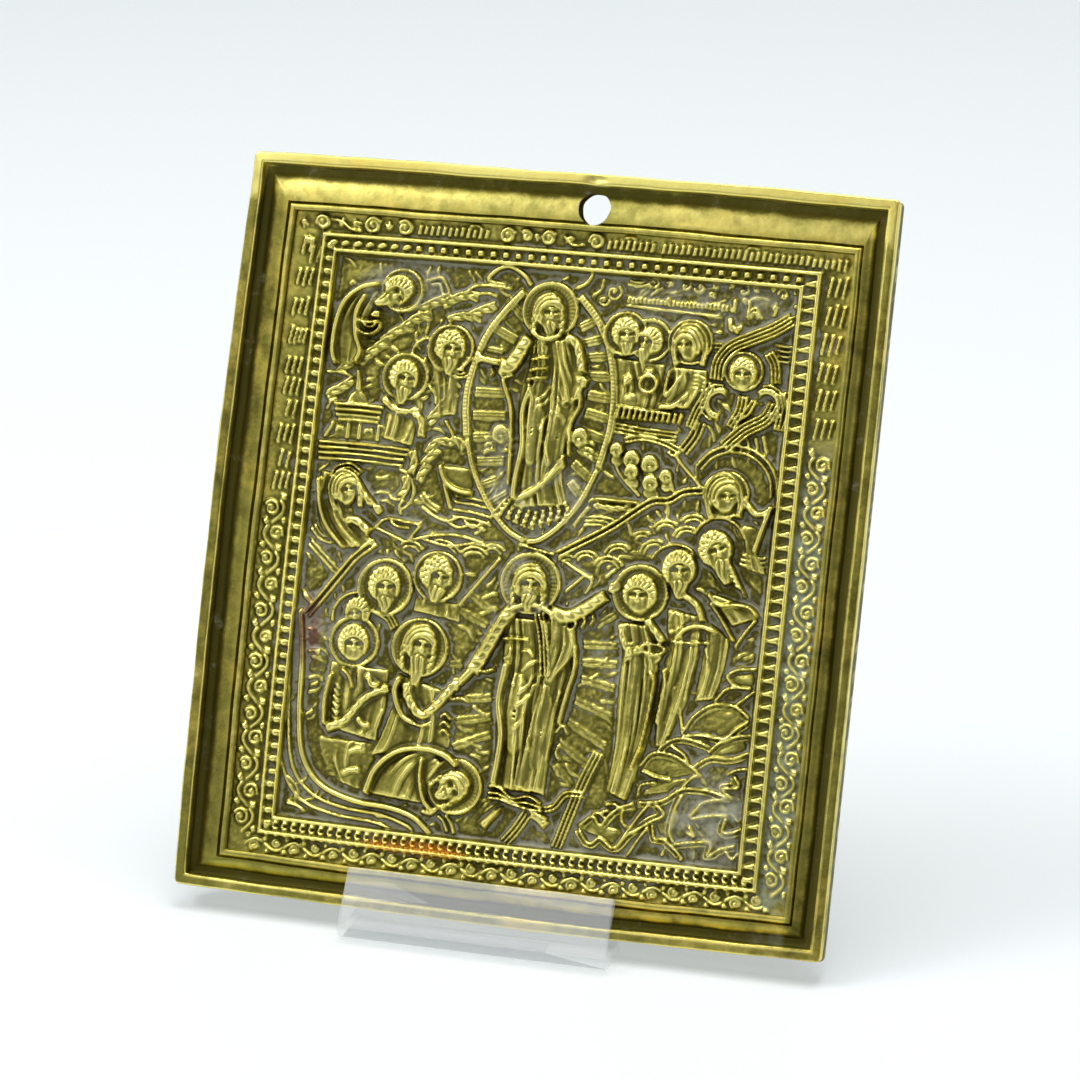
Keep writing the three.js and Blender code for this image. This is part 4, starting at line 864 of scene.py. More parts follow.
def drawCave(relief):
    # cloud arcs at the top, bars of light from the middle figure, the cave's outline and the rocks
    drawArcs(relief, [(-13.8, -4.6, 4.5, 40, 60), (-8.2, -3.6, 2.9, 45, 95), (-18.2, -3.4, 2.6, 40, 90),
            (-5.4, -2.4, 2.4, 40, 90)], 0.42, 0.42, 0.1, 0.66)
    relief.strokes([[-19, -0.8, -15, 0.4, -11, 0.8, -7, 0],
            [-16.6, -0.2, -12.4, -0.9, -8.6, -0.2, -4.6, -0.6], [-1.6, 0.5, 2, -0.3, 4, -0.6],
            [-9.8, -9.6, -7.6, -6.6, -4.2, -2], [5.2, -1.2, 7.8, -2.6, 10.2, -3.8],
            [6.2, -6, 7.6, -4.6, 9, -3.2], [7, -8.6, 9.4, -7, 11.2, -5.6]], 0.5, 0.42)
    bars = [((-10, -10), (-4.4, -12.4)), ((-8.6, -7.4), (-4.6, -9.8)), ((-11.6, -18.4), (-8.4, -18.2)),
            ((-10, -23.6), (-3.2, -22.6)), ((-10, -27), (-3, -25.4)),
            ((-8.6, -30.6), (-2.8, -28)), ((9.8, -13.4), (15.6, -13)), ((9.6, -16), (15.4, -15.8)),
            ((10, -18.4), (15.4, -19.4)), ((9.4, -21.6), (15.2, -23.6)),
            ((8.6, -24.8), (14.8, -28)), ((7.6, -28), (13.2, -31.4)), ((7.4, -31.6), (11.4, -35)),
            ((6.4, -9.2), (8.4, -7.4)), ((11.4, -10.4), (15, -8))]
    for start, end in bars:
        relief.ribbon([start, ((start[0] + end[0]) / 2, (start[1] + end[1]) / 2), end], 1.3, 0.18, 0.02,
                "double", ends=0.15)
    for points, wide in (([-34.2, -12.4, -33.2, -20, -32.8, -28, -31.6, -34.4, -28.4, -38.4, -23, -40.2,
            -17.4, -40.6, -13.4, -41.6, -10.4, -43.9], 1.0),
            ([-35.0, -20, -34.4, -30, -33, -36.4, -29.6, -40, -24.6, -41.4, -18.8, -41.8,
            -14.6, -42.9, -13, -44], 0.55),
            ([-35.6, -30, -34.6, -36.6, -31.4, -41, -26, -42.6, -20, -43, -16.6, -43.8], 0.5)):
        relief.ribbon(points, wide, 0.75 if wide > 0.9 else 0.4, 0.1)
    relief.bundle([-34, -38, -32.4, -39.4, -31.8, -41.6], 2, 0.6)
    relief.strokes([[-33.6, -41.8, -32, -42, -30.6, -42.6],
            [-32.6, -18.9, -31.6, -18.6, -30.6, -18.8], [-32, -28.4, -30.8, -27.6],
            [-31.6, -23.8, -30.4, -23.4]], 0.6, 0.45)
    # leaf-shaped crags at the lower right
    leaves = [[31.6, -16, 33.4, -14.8, 36.4, -14.4], [31.8, -15.8, 33.2, -17.2, 35.8, -17.4],
            [30.4, -19.8, 32, -17.8, 33.8, -17.4], [33.6, -20, 35, -18.8, 36.4, -17.6],
            [26.2, -24.8, 27.6, -22.2, 30.4, -20.2, 33.6, -20.2, 36, -21.8],
            [26, -25.2, 29, -24.9, 32.4, -25, 34, -23.6, 36, -22],
            [22.6, -27.8, 24.6, -26, 27, -25.6, 30.6, -26.4],
            [24.6, -26.8, 26.8, -28, 27.6, -29.4],
            [30.2, -27.4, 32, -25.6, 34.8, -24.4, 36.6, -24.2],
            [20.2, -30.4, 22, -28.2, 25.2, -28.2, 28, -29.6, 29.6, -30.8],
            [20.4, -30.8, 23, -31.6, 25.2, -31.8],
            [28.2, -29.6, 30.6, -28, 33.8, -27.8, 36.6, -26.6],
            [20.4, -34.6, 20.8, -33, 23, -32.4], [26.8, -33, 28.2, -31.2, 29.6, -30.6],
            [33.4, -30.2, 34.8, -29.4, 36.8, -29],
            [34.4, -30.2, 35.4, -31.8, 33, -32.4, 34.6, -33.6],
            [20.4, -35.6, 24, -35, 27, -33, 30.6, -32.8, 34, -33.6],
            [28.4, -37, 30.4, -34.6, 33.6, -33.8], [28.6, -37.2, 31.8, -36.4, 34.2, -36.2],
            [34, -36.4, 33.6, -38.6, 35.4, -38.4, 36.6, -37.6],
            [27.2, -33.6, 26.2, -36, 25.8, -39.4, 26.6, -41],
            [28.4, -38.2, 29.6, -39.6, 28.2, -39.2],
            [26.4, -41.2, 29, -40.6, 32, -40.4, 31.8, -42.4, 33.4, -41.2, 35.8, -40.4],
            [23, -38.4, 23.6, -40.6, 25, -40.6, 27.8, -42.8, 27.6, -43.6],
            [22.6, -35.2, 20.6, -38, 17.8, -42.8],
            [23, -35.4, 24.6, -37, 22.4, -38.4, 20, -40.4],
            [18.4, -36.4, 18.4, -38.6, 19.4, -39.4],
            [12, -40.4, 13.8, -42.4, 15.4, -41.4, 17.6, -42.6, 19.6, -40.4, 22, -38.8],
            [12, -40, 13.2, -38.8, 14.2, -38.4, 15.2, -39.6, 16.4, -38, 18, -36.6, 20, -35.8],
            [13.8, -38, 15, -37.8, 16, -38.6], [19.6, -43.8, 21, -41.2, 22.6, -38.8],
            [34.2, -41, 35.4, -42.4, 36.4, -41.2]]
    for k, (left, right) in enumerate((
            ([26.4, -24.6, 28.4, -21.8, 31, -20.4], [33, -24.8, 34.6, -23.4, 35.6, -21.8]),
            ([20.6, -30.6, 22.4, -28.6, 25, -28.4], [25, -31.6, 27.4, -31, 29.2, -30.6]),
            ([20.8, -34.4, 22.4, -32.6, 25, -32], [26.6, -33.2, 27.8, -32, 29, -31]),
            ([12.4, -40.4, 13.6, -39, 15.4, -39.4], [15.4, -41.2, 17.4, -42, 19.4, -40.4]),
            ([28.6, -37, 30.4, -34.8, 33, -33.8], [31, -36.6, 33, -36.2, 34.2, -35.8]),
            ([23.4, -38.4, 24.6, -37, 26, -35.4], [25, -40.6, 26, -39.6, 27, -37]),
            ([31.8, -16, 33.4, -15, 36, -14.6], [32.6, -16.8, 34.4, -17, 36.2, -17.2]),
            ([30.4, -27.2, 32.4, -25.6, 35, -24.6], [31.4, -28, 33.8, -27.6, 36.4, -26.6]))):
        relief.cloth(left, right, 1.5, 0.02, 0.34, 0.08, 0.1, seed=200 + k)
    for points in leaves:
        path, side, _ = pathOf(points, 0.8)
        relief.ribbon(path, 0.5, 0.6, 0.1)
        if len(points) > 6:
            relief.ribbon(path - side * 0.62, 0.36, 0.36, 0.08)
    for points in ([13.8, -29, 11.6, -34.6, 8.8, -43.8], [4.2, -38.6, 2.6, -41.4, 0.8, -43.8]):
        relief.bundle(points, 3, 0.62, 0.42, 0.5, 0.12)


def drawReachingFigure(relief):
    # the tall central figure of the lower scene, reaching down to one side and up to the other
    relief.halo(0.9, -5.2, 4.6, 0.25, 0.2)
    relief.disc(0.9, -5.2, 4.2, lambda r, a: 0.10 * smoothstep(0.5, 0.7,
            r) * (0.5 + 0.5 * np.cos(36 * a)) * (1 - smoothstep(0.85, 0.95, r)), "onto")
    relief.cloth([-2.4, -10.4, -2.1, -16, -2.4, -24, -1.9, -30, -1.7, -35.8],
            [6.6, -10.4, 8.4, -16, 7.4, -24, 6.6, -30, 6.2, -36],
            6.5, 0.45, 0.75, 0.36, 0.3, -0.15, seed=71)
    relief.ribbon([-2.6, -11.4, -1.6, -9.4, 0.9, -8.4, 3.4, -8.7, 6.0, -10.4], 1.7, 0.9, 0.4,
            taper=(0.6, 0.6))
    relief.knob(0.8, -24.6, 2.1, 0.6, 0, 2.9, 2, "onto")
    relief.knob(5.0, -27.0, 1.8, 0.4, 0, 3.2, -3, "onto")
    relief.cloth([4.0, -9.4, 4.4, -14, 4.9, -19.4], [8.6, -11.4, 8.8, -15, 5.6, -19.6], 3.5,
            0.7, 0.75, 0.3, 0.15, seed=72)
    relief.cloth([2.6, -19.8, 0.8, -27, 0.2, -35.2], [6.2, -19.8, 6.4, -27, 6.0, -36], 5, 0.65,
            0.7, 0.34, 0.1, 0.15, seed=73)
    relief.ribbon([-1.3, -17, -1.9, -23, -1.0, -28.4, -1.5, -35.6], 1.25, 1.3, 0.3)
    relief.ribbons(
            ([-2.4, -13.8, -0.6, -13.6, 1.8, -13.6], 0.6, 1.3, 0.25),
            ([0.6, -15.4, 1.8, -15.2, 2.8, -16], 0.6, 1.2, 0.25),
            ends=0.3)
    relief.strokes([[0.8, -18.4, 2.4, -17, 3.6, -16.4], [0.9, -21.6, 2.2, -20.4, 3.2, -18.4],
            [0.8, -23.4, 2, -22.6, 2.8, -21.6], [0.8, -26.8, 1.6, -26, 2.4, -24.4],
            [-0.4, -20.2, 0.4, -20.4], [-2.2, -16.8, -1.2, -16.2, -0.8, -15],
            [3.2, -27.6, 3.4, -29.4, 3.8, -29.8], [6.8, -22, 7.4, -20.6]], 0.42, 0.24, 0,
            "round", "onto")
    relief.ribbon([8.7, -13.4, 9.0, -17, 8.2, -21, 7.4, -25.6], 0.8, 0.8, 0.3)
    relief.strokes([[7, -26.8, 8, -25.6, 8.8, -26.6], [7.8, -28.4, 7.4, -29.8, 8, -30.6],
            [6.8, -24, 7.4, -25.4]], 0.42, 0.5, 0.2)
    # the hem's three lines and the flying end of the cloak
    for drop, x1 in ((0, 6.0), (1.0, 6.2), (1.8, 6.4)):
        relief.ribbon([-2.4, -35.6 - drop, -0.6, -35.7 - drop * 0.9, 1.6, -37.0 - drop * 0.5,
                4, -36.5 - drop, x1, -37.4 - drop * 0.6], 0.55, 0.95, 0.15, ends=0.3)
    relief.bundle([6.4, -38.2, 8, -37.6, 9.6, -35.6, 12.2, -35.4], 2, 0.62, 0.45, 0.7, 0.15)
    for points in ([-0.4, -39, -1.6, -40.4, -2.8, -41.8], [4.4, -39, 5.8, -39.6, 7.2, -40.6]):
        relief.ribbon(points, 1.5, 0.85, 0.2, taper=(0.8, 1.0))
    relief.ribbons(
            ([0, -38.6, -1.1, -40, -2.3, -41.2], 0.5, 1.15, 0.15),
            ([4.2, -38.6, 5.4, -38.9, 7.2, -39.5], 0.55, 1.0, 0.2))
    # arms
    relief.ribbon([-1.4, -9.2, -3.4, -12.6, -5.0, -16, -6.6, -19.2], 2.5, 1.05, 0.5, "sleeve",
            taper=(0.85, 0.9))
    relief.ribbons(
            ([-2.6, -10, -4.2, -13.4, -5.8, -17], 0.6, 1.3, 0.5),
            ([-6.4, -18.8, -4.8, -18.9, -3.2, -18.4], 0.55, 0.7, 0.5),
            ([-5.9, -17.9, -7.2, -19.6, -8.4, -21.0], 1.35, 0.9, 0.5))
    relief.hand(-8.6, -21.2, 1.1, 215, 0.8, 0.45)
    relief.ribbon([4.4, -9.2, 7, -9.6, 9.4, -8.4, 11.6, -6.6, 12.6, -5.8], 2.4, 1.1, 0.5, "sleeve",
            taper=(1.0, 0.75))
    relief.hand(13.4, -4.9, 1.1, 42, 0.7, 0.4)
    for k in range(5):
        relief.ribbon([5.6 + 1.3 * k, -10.0 + 0.3 * k, 5.9 + 1.3 * k, -11.2 + 0.4 * k,
                5.4 + 1.3 * k, -12.6 + 0.5 * k], 0.5, 0.8, 0.35, "crest", ends=0.3)
    relief.bundle([2.8, -9.4, 3.8, -12.6, 4.8, -18.8], 3, 0.6, 0.4, 1.15, 0.4)
    relief.head(0.9, -5.2, 2.75, -2, 0.15, 0.6, 1.2, "long", 0.35, 74)


def drawLeftFigures(relief):
    # the kneeling figure, the one with crossed arms, two above and the prostrate one
    relief.halo(-13.4, -5.6, 3.8, 0.2, 0.2)
    relief.head(-13.6, -5.4, 2.7, -8, 0.45, 0.45, 1.1, "curls", 0.35, 81)
    relief.cloth([-16.6, -8.8, -16.8, -11], [-9.8, -9.4, -9.4, -12], 3, 0.2, 0.5, 0.2, 0.2, seed=82)
    relief.halo(-21.4, -8.0, 4.3, 0.25, 0.2)
    relief.head(-21.4, -7.8, 2.7, 2, 0.2, 0.5, 1.1, "short", 0.3, 83)
    relief.ring(-25.2, -13.2, 4.0, 0.45, 0.5, 0.15, start=60, turn=130)
    relief.head(-25.2, -12.2, 2.1, 10, -0.3, 0.25, 0.8, "short", 0, 84)
    relief.bundle([-22.2, -11.6, -20.4, -12.4, -19.2, -14], 3, 0.55, 0.4, 0.6, 0.15)
    relief.cloth([-28.6, -19.8, -29.0, -24.4, -28.8, -29.6],
            [-19.6, -20.4, -19.4, -26, -20.6, -31], 4, 0.3, 0.65, 0.22, 0.3, seed=85)
    relief.halo(-25.3, -16.6, 3.9, 0.25, 0.2)
    relief.head(-25.3, -16.8, 2.6, 2, 0.15, 0.55, 1.1, "short", 0, 86)
    relief.ribbon([-28.2, -21.6, -28.8, -25.4, -28.6, -29.6], 0.9, 1.15, 0.3)
    relief.ribbon([-28.4, -29.9, -25.6, -28.6, -22.8, -25, -20.4, -23.4], 1.6, 0.95, 0.5, "sleeve",
            taper=(1, 0.7))
    relief.ribbons(
            ([-26.8, -20.6, -25.4, -21.8, -24.6, -23.6], 0.7, 1.05, 0.4),
            ([-22.8, -21, -21.8, -22.6, -20.6, -22.9], 1.2, 0.9, 0.5, "sleeve"))
    relief.hand(-20.2, -23.4, 0.9, 20, 0.7)
    for k in range(6):
        relief.ribbon([-27.9, -22.9 - k, -26.9, -23.6 - k, -26.4, -23.9 - k * 0.8], 0.36, 0.2, 0, "round",
                "onto", ends=0.2)
    relief.ribbon([-23.8, -27.6, -22.6, -28.8, -21.4, -28.8], 0.9, 0.7, 0.4)
    for x, y in ((-23.4, -32.6), (-24, -35.8)):
        relief.ribbon([x - 1.4, y - 0.8, x, y, x + 1.6, y + 0.2], 1.0, 0.5, 0.15)
    relief.cloth([-29.4, -31.4, -28.4, -34.4, -25.8, -37.6],
            [-20.4, -31.4, -20.6, -34.6, -21.6, -38.6], 3, 0.12, 0.35, 0.2, 0.4, seed=87)
    # kneeling bearded figure in the middle left
    relief.cloth([-17.8, -20.6, -18.2, -24.6, -19.6, -29.6, -21, -33],
            [-10.8, -22.4, -9.6, -26.4, -9.0, -30.4, -10, -31.4], 5, 0.3, 0.7, 0.26, 0.3, seed=88)
    relief.halo(-15.0, -16.4, 4.4, 0.3, 0.2)
    relief.head(-15.0, -15.8, 2.75, -6, 0.35, 0.6, 1.1, "long", 1.05, 89)
    relief.ribbon([-17.4, -20.8, -18.0, -23.4, -16.6, -26.6, -14.4, -27.8], 1.1, 1.2, 0.4)
    relief.ribbon([-16.4, -21.6, -15.8, -24.2, -13.6, -26.4, -11.4, -24.6, -9.4, -22], 2.0, 1.0, 0.5,
            "sleeve", taper=(0.9, 0.7))
    relief.ribbon([-15.2, -27.7, -13.2, -27.9, -11.8, -27.2], 0.7, 0.9, 0.5)
    relief.hand(-9.0, -21.2, 1.0, 40, 0.75, 0.4)
    for y in (-26.4, -27.6, -28.8):
        relief.ribbon([-10.8, y, -10, y + 0.6, -9, y - 0.2], 0.5, 0.6, 0.4, ends=0.3)
    relief.strokes([[-9.6, -23.6, -8, -23.2, -6.8, -23.6],
            [-11.4, -23.6, -10.6, -22.4, -9.8, -22.2], [-19.6, -26, -20.4, -28.6, -20.6, -31]],
            0.5, 0.55, 0.2)
    # prostrate figure at the bottom
    relief.cloth([-21, -38.8, -19.6, -34.8, -16.4, -32, -12, -31],
            [-12, -39.4, -11.4, -38, -10.4, -36, -9.4, -33.4], 3.5, 0.35, 0.75, 0.25, 0.3, seed=90)
    relief.ribbons(
            ([-21.2, -39, -19.8, -35, -16.8, -32.2, -13, -31.3, -9.6, -31.8, -7.2, -33.4], 1.15, 1.1, 0.4),
            ([-12.8, -32.4, -12.9, -35.6, -12, -38.8, -10.4, -40.4], 0.8, 1.0, 0.4))
    relief.halo(-7.5, -36.3, 4.2, 0.3, 0.15)
    relief.head(-7.6, -36.3, 2.4, -58, 0.2, 0.6, 1.1, "long", 0.2, 91)
    relief.strokes([[-9.8, -40.8, -8.8, -41.6, -8, -43.2],
            [-8.6, -40.6, -7.6, -41.8, -7, -43.4]], 0.6, 0.5, 0.15)
    relief.ribbon([-12.4, -40.4, -10.8, -40.6, -9.8, -39.6], 0.9, 0.7, 0.2)


def drawRightFigures(relief):
    # the figure with the bowl, the two bearded ones behind it and the one in the cloak
    relief.cloth([14.8, -9.4, 15.8, -14, 15.9, -20, 16.2, -28, 15.6, -34.4],
            [20.2, -9.6, 21.6, -15, 21.8, -22, 20.8, -28, 18.8, -35.6],
            5.5, 0.4, 0.75, 0.34, 0.25, -0.1, seed=101)
    relief.cloth([22, -7, 22.4, -13, 21.8, -20, 22.2, -27],
            [27.8, -7.6, 27.6, -13, 26.4, -20, 23.6, -27.4], 5, 0.3, 0.65, 0.3, 0.25, -0.15, seed=102)
    relief.cloth([27.2, -7.4, 28, -13, 27.4, -20], [31.8, -10.6, 31.4, -15, 30.4, -19.4], 4,
            0.25, 0.6, 0.28, 0.25, seed=103)
    relief.ring(22.4, -1.4, 4.0, 0.45, 0.5, 0.15, start=35, turn=120)
    relief.head(23.2, -1.0, 2.7, 4, 0.1, 0.45, 1.1, "short", 0.45, 104)
    relief.ring(28.6, 3.0, 4.1, 0.45, 0.5, 0.15, start=20, turn=140)
    relief.head(28.3, 2.4, 2.7, 22, 0.25, 0.5, 1.15, "curls", 0.8, 105)
    for k in range(6):
        relief.ribbon([29.4 + 0.45 * k, 0.8 - 0.65 * k, 30.6 + 0.45 * k, 0.4 - 0.7 * k,
                31.4 + 0.4 * k, -0.6 - 0.7 * k], 0.45, 0.85, 0.45, ends=0.2)
    relief.cloth([28, -4, 29.6, -6.2, 31.8, -8.6], [30.8, -4.6, 33.8, -5.4, 35.6, -7], 1.5, 0.3,
            0.8, 0.2, 0.1, seed=106)
    relief.ribbons(
            ([27.8, -4, 29.6, -5.6, 32, -5.4, 34.2, -5.6, 35.6, -6.9], 0.7, 1.0, 0.35),
            ([28.2, -5.2, 30.4, -7.8, 32.4, -10.8], 0.6, 0.8, 0.3),
            ([35.4, -7.2, 34, -9.2, 32.6, -11.6], 0.55, 0.6, 0.25),
            ([24.2, -4.6, 26.4, -6, 27.6, -8.4], 1.1, 0.95, 0.45, "sleeve"),
            ([23.6, -11.4, 25.2, -9.6, 27.2, -9.0, 29.8, -9.6], 0.9, 0.9, 0.4),
            ([23, -11.6, 25.6, -11.6, 29, -11.2], 0.5, 0.8, 0.35))
    relief.halo(17.7, -5.0, 4.2, 0.3, 0.2)
    relief.ribbons(
            ([19, -8.6, 20.4, -10.2, 22, -12], 1.3, 1.0, 0.5, "sleeve"),
            ([15.4, -9.6, 16, -12, 17.6, -14.6], 1.4, 1.0, 0.45, "sleeve"))
    relief.head(17.8, -5.2, 2.75, 0, -0.15, 0.6, 1.15, "short", 0, 107)
    # the bowl it carries
    relief.disc(20.6, -13.0, 1.9, lambda r,
            a: 0.9 + 0.35 * smoothstep(0.72, 0.95, r) - 0.3 * (1 - smoothstep(0.5, 0.8, r)), squash=0.42)
    relief.cloth([18.9, -13.4, 19.6, -14.6, 20.4, -15.2],
            [22.4, -13.4, 21.8, -14.6, 20.9, -15.2], 1, 0.5, 0.55, 0, 0)
    relief.hand(18.0, -13.6, 0.85, 20, 0.9)
    for k in range(4):
        relief.ribbon([17.6, -12.4 - 0.7 * k, 16.8, -12.8 - 0.7 * k, 16.4, -13.6 - 0.7 * k], 0.42, 0.7, 0.6,
                ends=0.2)
    relief.ribbons(
            ([20.2, -16.2, 21.2, -18, 20.4, -26, 19, -31], 0.7, 1.0, 0.4),
            ([22.4, -15.6, 22.8, -18, 22.2, -24], 0.75, 0.9, 0.3))
    relief.strokes([[24.4, -18, 24, -21.4, 22.6, -26.6], [24.4, -18, 25.4, -21.6, 26.2, -25],
            [22.4, -24.2, 23.6, -23.6, 24.2, -25.6], [18, -24, 18.8, -22, 19.2, -20],
            [15.6, -36.4, 17, -36.2, 18, -36.8], [15.2, -37.6, 16.4, -37.2]], 0.55, 0.55,
            0.15)
    relief.strokes([[25, -8.2, 24.2, -9.6, 22.6, -10.4], [22.4, -8.6, 23.4, -7, 24.6, -7.4],
            [28.2, -11.8, 29, -15, 28.6, -19], [26.2, -12, 26.4, -16, 26, -20]], 0.4, 0.2, 0,
            "round", "onto")


def drawRelief():
    relief = Relief(-43.6, 44.8, -50.6, 48.4, 0.12)
    drawBorder(relief)
    relief.floor, relief.shiftX = rimTop - groundDepth, -0.4
    for draw in (drawGround, drawSky, drawCave, drawAlmond, drawBowing, drawGreeters, drawRecumbent,
            drawRightGroup, drawCrowd,
            drawTallFigure, drawLeftFigures, drawRightFigures, drawReachingFigure):
        draw(relief)
    print("stage: relief drawn", relief.z.shape)
    return relief


casting = {
    "cell": 0.15, "soften": 1, "grain": 0.022, "swell": 0.05, "slabBottom": 0.8, "chased": 0.42,
    "ringCell": 0.155, "underlap": 0.15, "pitting": 0.05,
}


def finishRelief(relief):
    # the mould's loss of sharpness, then sand grain and slow unevenness
    relief.z = blurred(relief.z, casting["soften"], 1)
    relief.z += casting["chased"] * (relief.z - blurred(relief.z, 4, 2))
    shape = relief.z.shape
    low = 1 - smoothstep(1.9, 2.5, relief.z)
    relief.z += casting["pitting"] * low * (cloudy(shape, relief.cell, 0.55, 34) + 0.6 * cloudy(shape,
            relief.cell, 0.3,
            35))
    relief.z += casting["grain"] * cloudy(shape, relief.cell, 0.4,
            31) + casting["swell"] * (cloudy(shape, relief.cell, 6, 32) + cloudy(shape, relief.cell, 2.3, 33))
    relief.z = np.clip(relief.z, 1.5, rimTop - 0.12)
    near, wide = blurred(relief.z, 3), blurred(relief.z, 8)
    relief.layers = {
        "crest": np.clip((relief.z - near) / 0.16, -1, 1),
        "hollow": np.clip((wide - relief.z) / 0.42, -1, 1),
        "lift": np.clip((relief.z - 1.75) / 1.9, 0, 1),
    }


def sampled(relief, values, x, y):
    # bilinear reading of a grid at any points
    gx = np.clip((x - relief.left) / relief.cell, 0, values.shape[1] - 1.001)
    gy = np.clip((y - relief.bottom) / relief.cell, 0, values.shape[0] - 1.001)
    ix, iy = gx.astype(int), gy.astype(int)
    fx, fy = gx - ix, gy - iy
    return (values[iy, ix] * (1 - fx) * (1 - fy) + values[iy, ix + 1] * fx * (1 - fy)
            + values[iy + 1, ix] * (1 - fx) * fy + values[iy + 1, ix + 1] * fx * fy)


def slab(name, relief, x, y):
    # a closed slab: the relief on top, straight walls below its border, one flat face underneath
    rows, columns = x.shape
    z = sampled(relief, relief.z, x, y)
    index = np.arange(rows * columns).reshape(rows, columns)
    rim = np.concatenate([index[0, :-1], index[:-1, -1], index[-1, :0:-1], index[:0:-1, 0]])
    top = rowPlace(x, y, z).reshape(-1, 3)
    under = rowPlace(x.ravel()[rim], y.ravel()[rim], np.full(len(rim), casting["slabBottom"]))
    lower = rows * columns + np.arange(len(rim))
    walls = np.stack([np.roll(rim, -1), rim, lower, np.roll(lower, -1)], axis=-1)
    made = surfaceObject(name, np.concatenate([top, under]),
            np.concatenate([gridFaces(rows, columns), walls]), [lower[::-1]], sharpAngle=62)
    for layer, values in relief.layers.items():
        pointValues(made, **{layer: np.concatenate([sampled(relief, values, x, y).ravel(),
                np.zeros(len(rim))])})
    pointValues(made, faceX=np.concatenate([x.ravel(), x.ravel()[rim]]),
            faceY=np.concatenate([y.ravel(), y.ravel()[rim]]), front=np.ones(len(top) + len(under)))
    return made


def makeRelief():
    relief = drawRelief()
    finishRelief(relief)
    pieces = []
    sunk = {side: margin[side] + scrollBand[side] + edging[side] for side in sides}
    left, right = -halfWide + sunk["left"], halfWide - sunk["right"]
    bottom, top = -halfHigh + sunk["bottom"], halfHigh - sunk["top"]
    levels = np.linspace(bottom, top, 4)
    across = np.linspace(left, right, int((right - left) / casting["cell"]))
    for name, low, high in zip(("lowerPanel", "middlePanel", "upperPanel"), levels[:-1], levels[1:]):
        x, y = np.meshgrid(across, np.linspace(low, high, int((high - low) / casting["cell"])))
        pieces.append(slab(name, relief, x, y))
    # the four strips of the band, mitred at the corners
    outer = {"left": -halfWide + margin["left"], "right": halfWide - margin["right"],
             "bottom": -halfHigh + margin["bottom"], "top": halfHigh - margin["top"]}
    outer = {side: value + casting["underlap"] * (-1 if side in ("left", "bottom") else 1) for side,
            value in outer.items()}
    inner = {"left": left, "right": right, "bottom": bottom, "top": top}
    corners = {"bottom": ("left", "bottom", "right", "bottom"), "right": ("right", "bottom", "right", "top"),
               "top": ("right", "top", "left", "top"), "left": ("left", "top", "left", "bottom")}
    for side in sides:
        startX, startY, endX, endY = corners[side]
        length = (right - left) if side in ("bottom", "top") else (top - bottom)
        t = np.linspace(0, 1, int((length + 14) / casting["ringCell"]))[None, :]
        s = np.linspace(0, 1, int((scrollBand[side] + edging[side]) / casting["ringCell"]) + 2)[:, None]
        x = (outer[startX] * (1 - t) + outer[endX] * t) * (1 - s) + (inner[startX] * (1 - t) + inner[endX]
                * t) * s
        y = (outer[startY] * (1 - t) + outer[endY] * t) * (1 - s) + (inner[startY] * (1 - t) + inner[endY]
                * t) * s
        pieces.append(slab(side + "Band", relief, x, y))
    print("stage: relief meshes made", [len(p.data.polygons) for p in pieces])
    return pieces


moulding = {
    "rim": 1.75, "groove": 1.3, "quirk": 0.4, "fillet": 1.0, "alongStep": 0.9, "corner": 0.8,
    "wobble": 0.07, "holeX": 3.9, "holeFromTop": 5.0, "holeRadius": 2.35,
}


def mouldingStations(width):
    # inset from the plate's edge and depth below the rim, from the floor under the band outwards,
    # over the fillet, quirk, ovolo, groove and rim, down the side and in under the back
    ovolo = width - moulding["rim"] - moulding["groove"] - moulding["quirk"] - moulding["fillet"]
    rim, groove, quirk = moulding["rim"], moulding["groove"], moulding["quirk"]
    start = rim + groove
    turn = np.linspace(0, math.pi / 2, 6)
    inner = [(width + 30, 3.2), (width + 16, 3.2), (width + 6, 3.2), (width + 0.6, 3.2),
            (width + 0.02, 3.15), (width, 2.6), (width - 0.02, 1.92)]
    fillet = [(width - 0.06, 1.3), (width - 0.14, 1.08), (width - 0.3, 1.0), (width - 0.5, 0.98),
            (width - 0.7, 1.0), (width - 0.86, 1.05)]
    fillet += [(start + ovolo + quirk * share, depth) for share,
            depth in ((0.85, 1.28), (0.6, 1.55), (0.4, 1.6), (0.15, 1.42))]
    hump = [(start + ovolo * share, 1.1 + 0.9 * (1 - share) ** 2.2) for share in np.linspace(1, 0.06, 12)]
    floor = [(start, 2.0), (start - 0.3 * groove, 2.05), (start - 0.65 * groove, 2.04), (rim + 0.12, 1.98),
            (rim + 0.03, 1.8), (rim, 1.2),
             (rim - 0.03, 0.45), (rim - 0.1, 0.16), (rim - 0.24, 0.03)]
    flat = [(inset, -0.02 * math.sin(math.pi * inset / rim)) for inset in np.linspace(rim - 0.45, 0.5, 6)]
    edge = [(0.34 * (1 - math.sin(a)), 0.34 * (1 - math.cos(a))) for a in turn]
    wall = [(0, 1.0), (0, 2.0), (0, 3.0), (0, 3.8), (0.05, 4.06), (0.18, 4.17), (0.4, 4.2)]
    back = [(inset, 4.2) for inset in (0.9, 1.6, 2.6, 4, 6, 8.5, 11, 14, 17, 20, 23, 26, 29, 32, 35, 38, 41,
            44, 47)]
    return np.array(inner + fillet + hump + floor + flat + edge + wall + back)


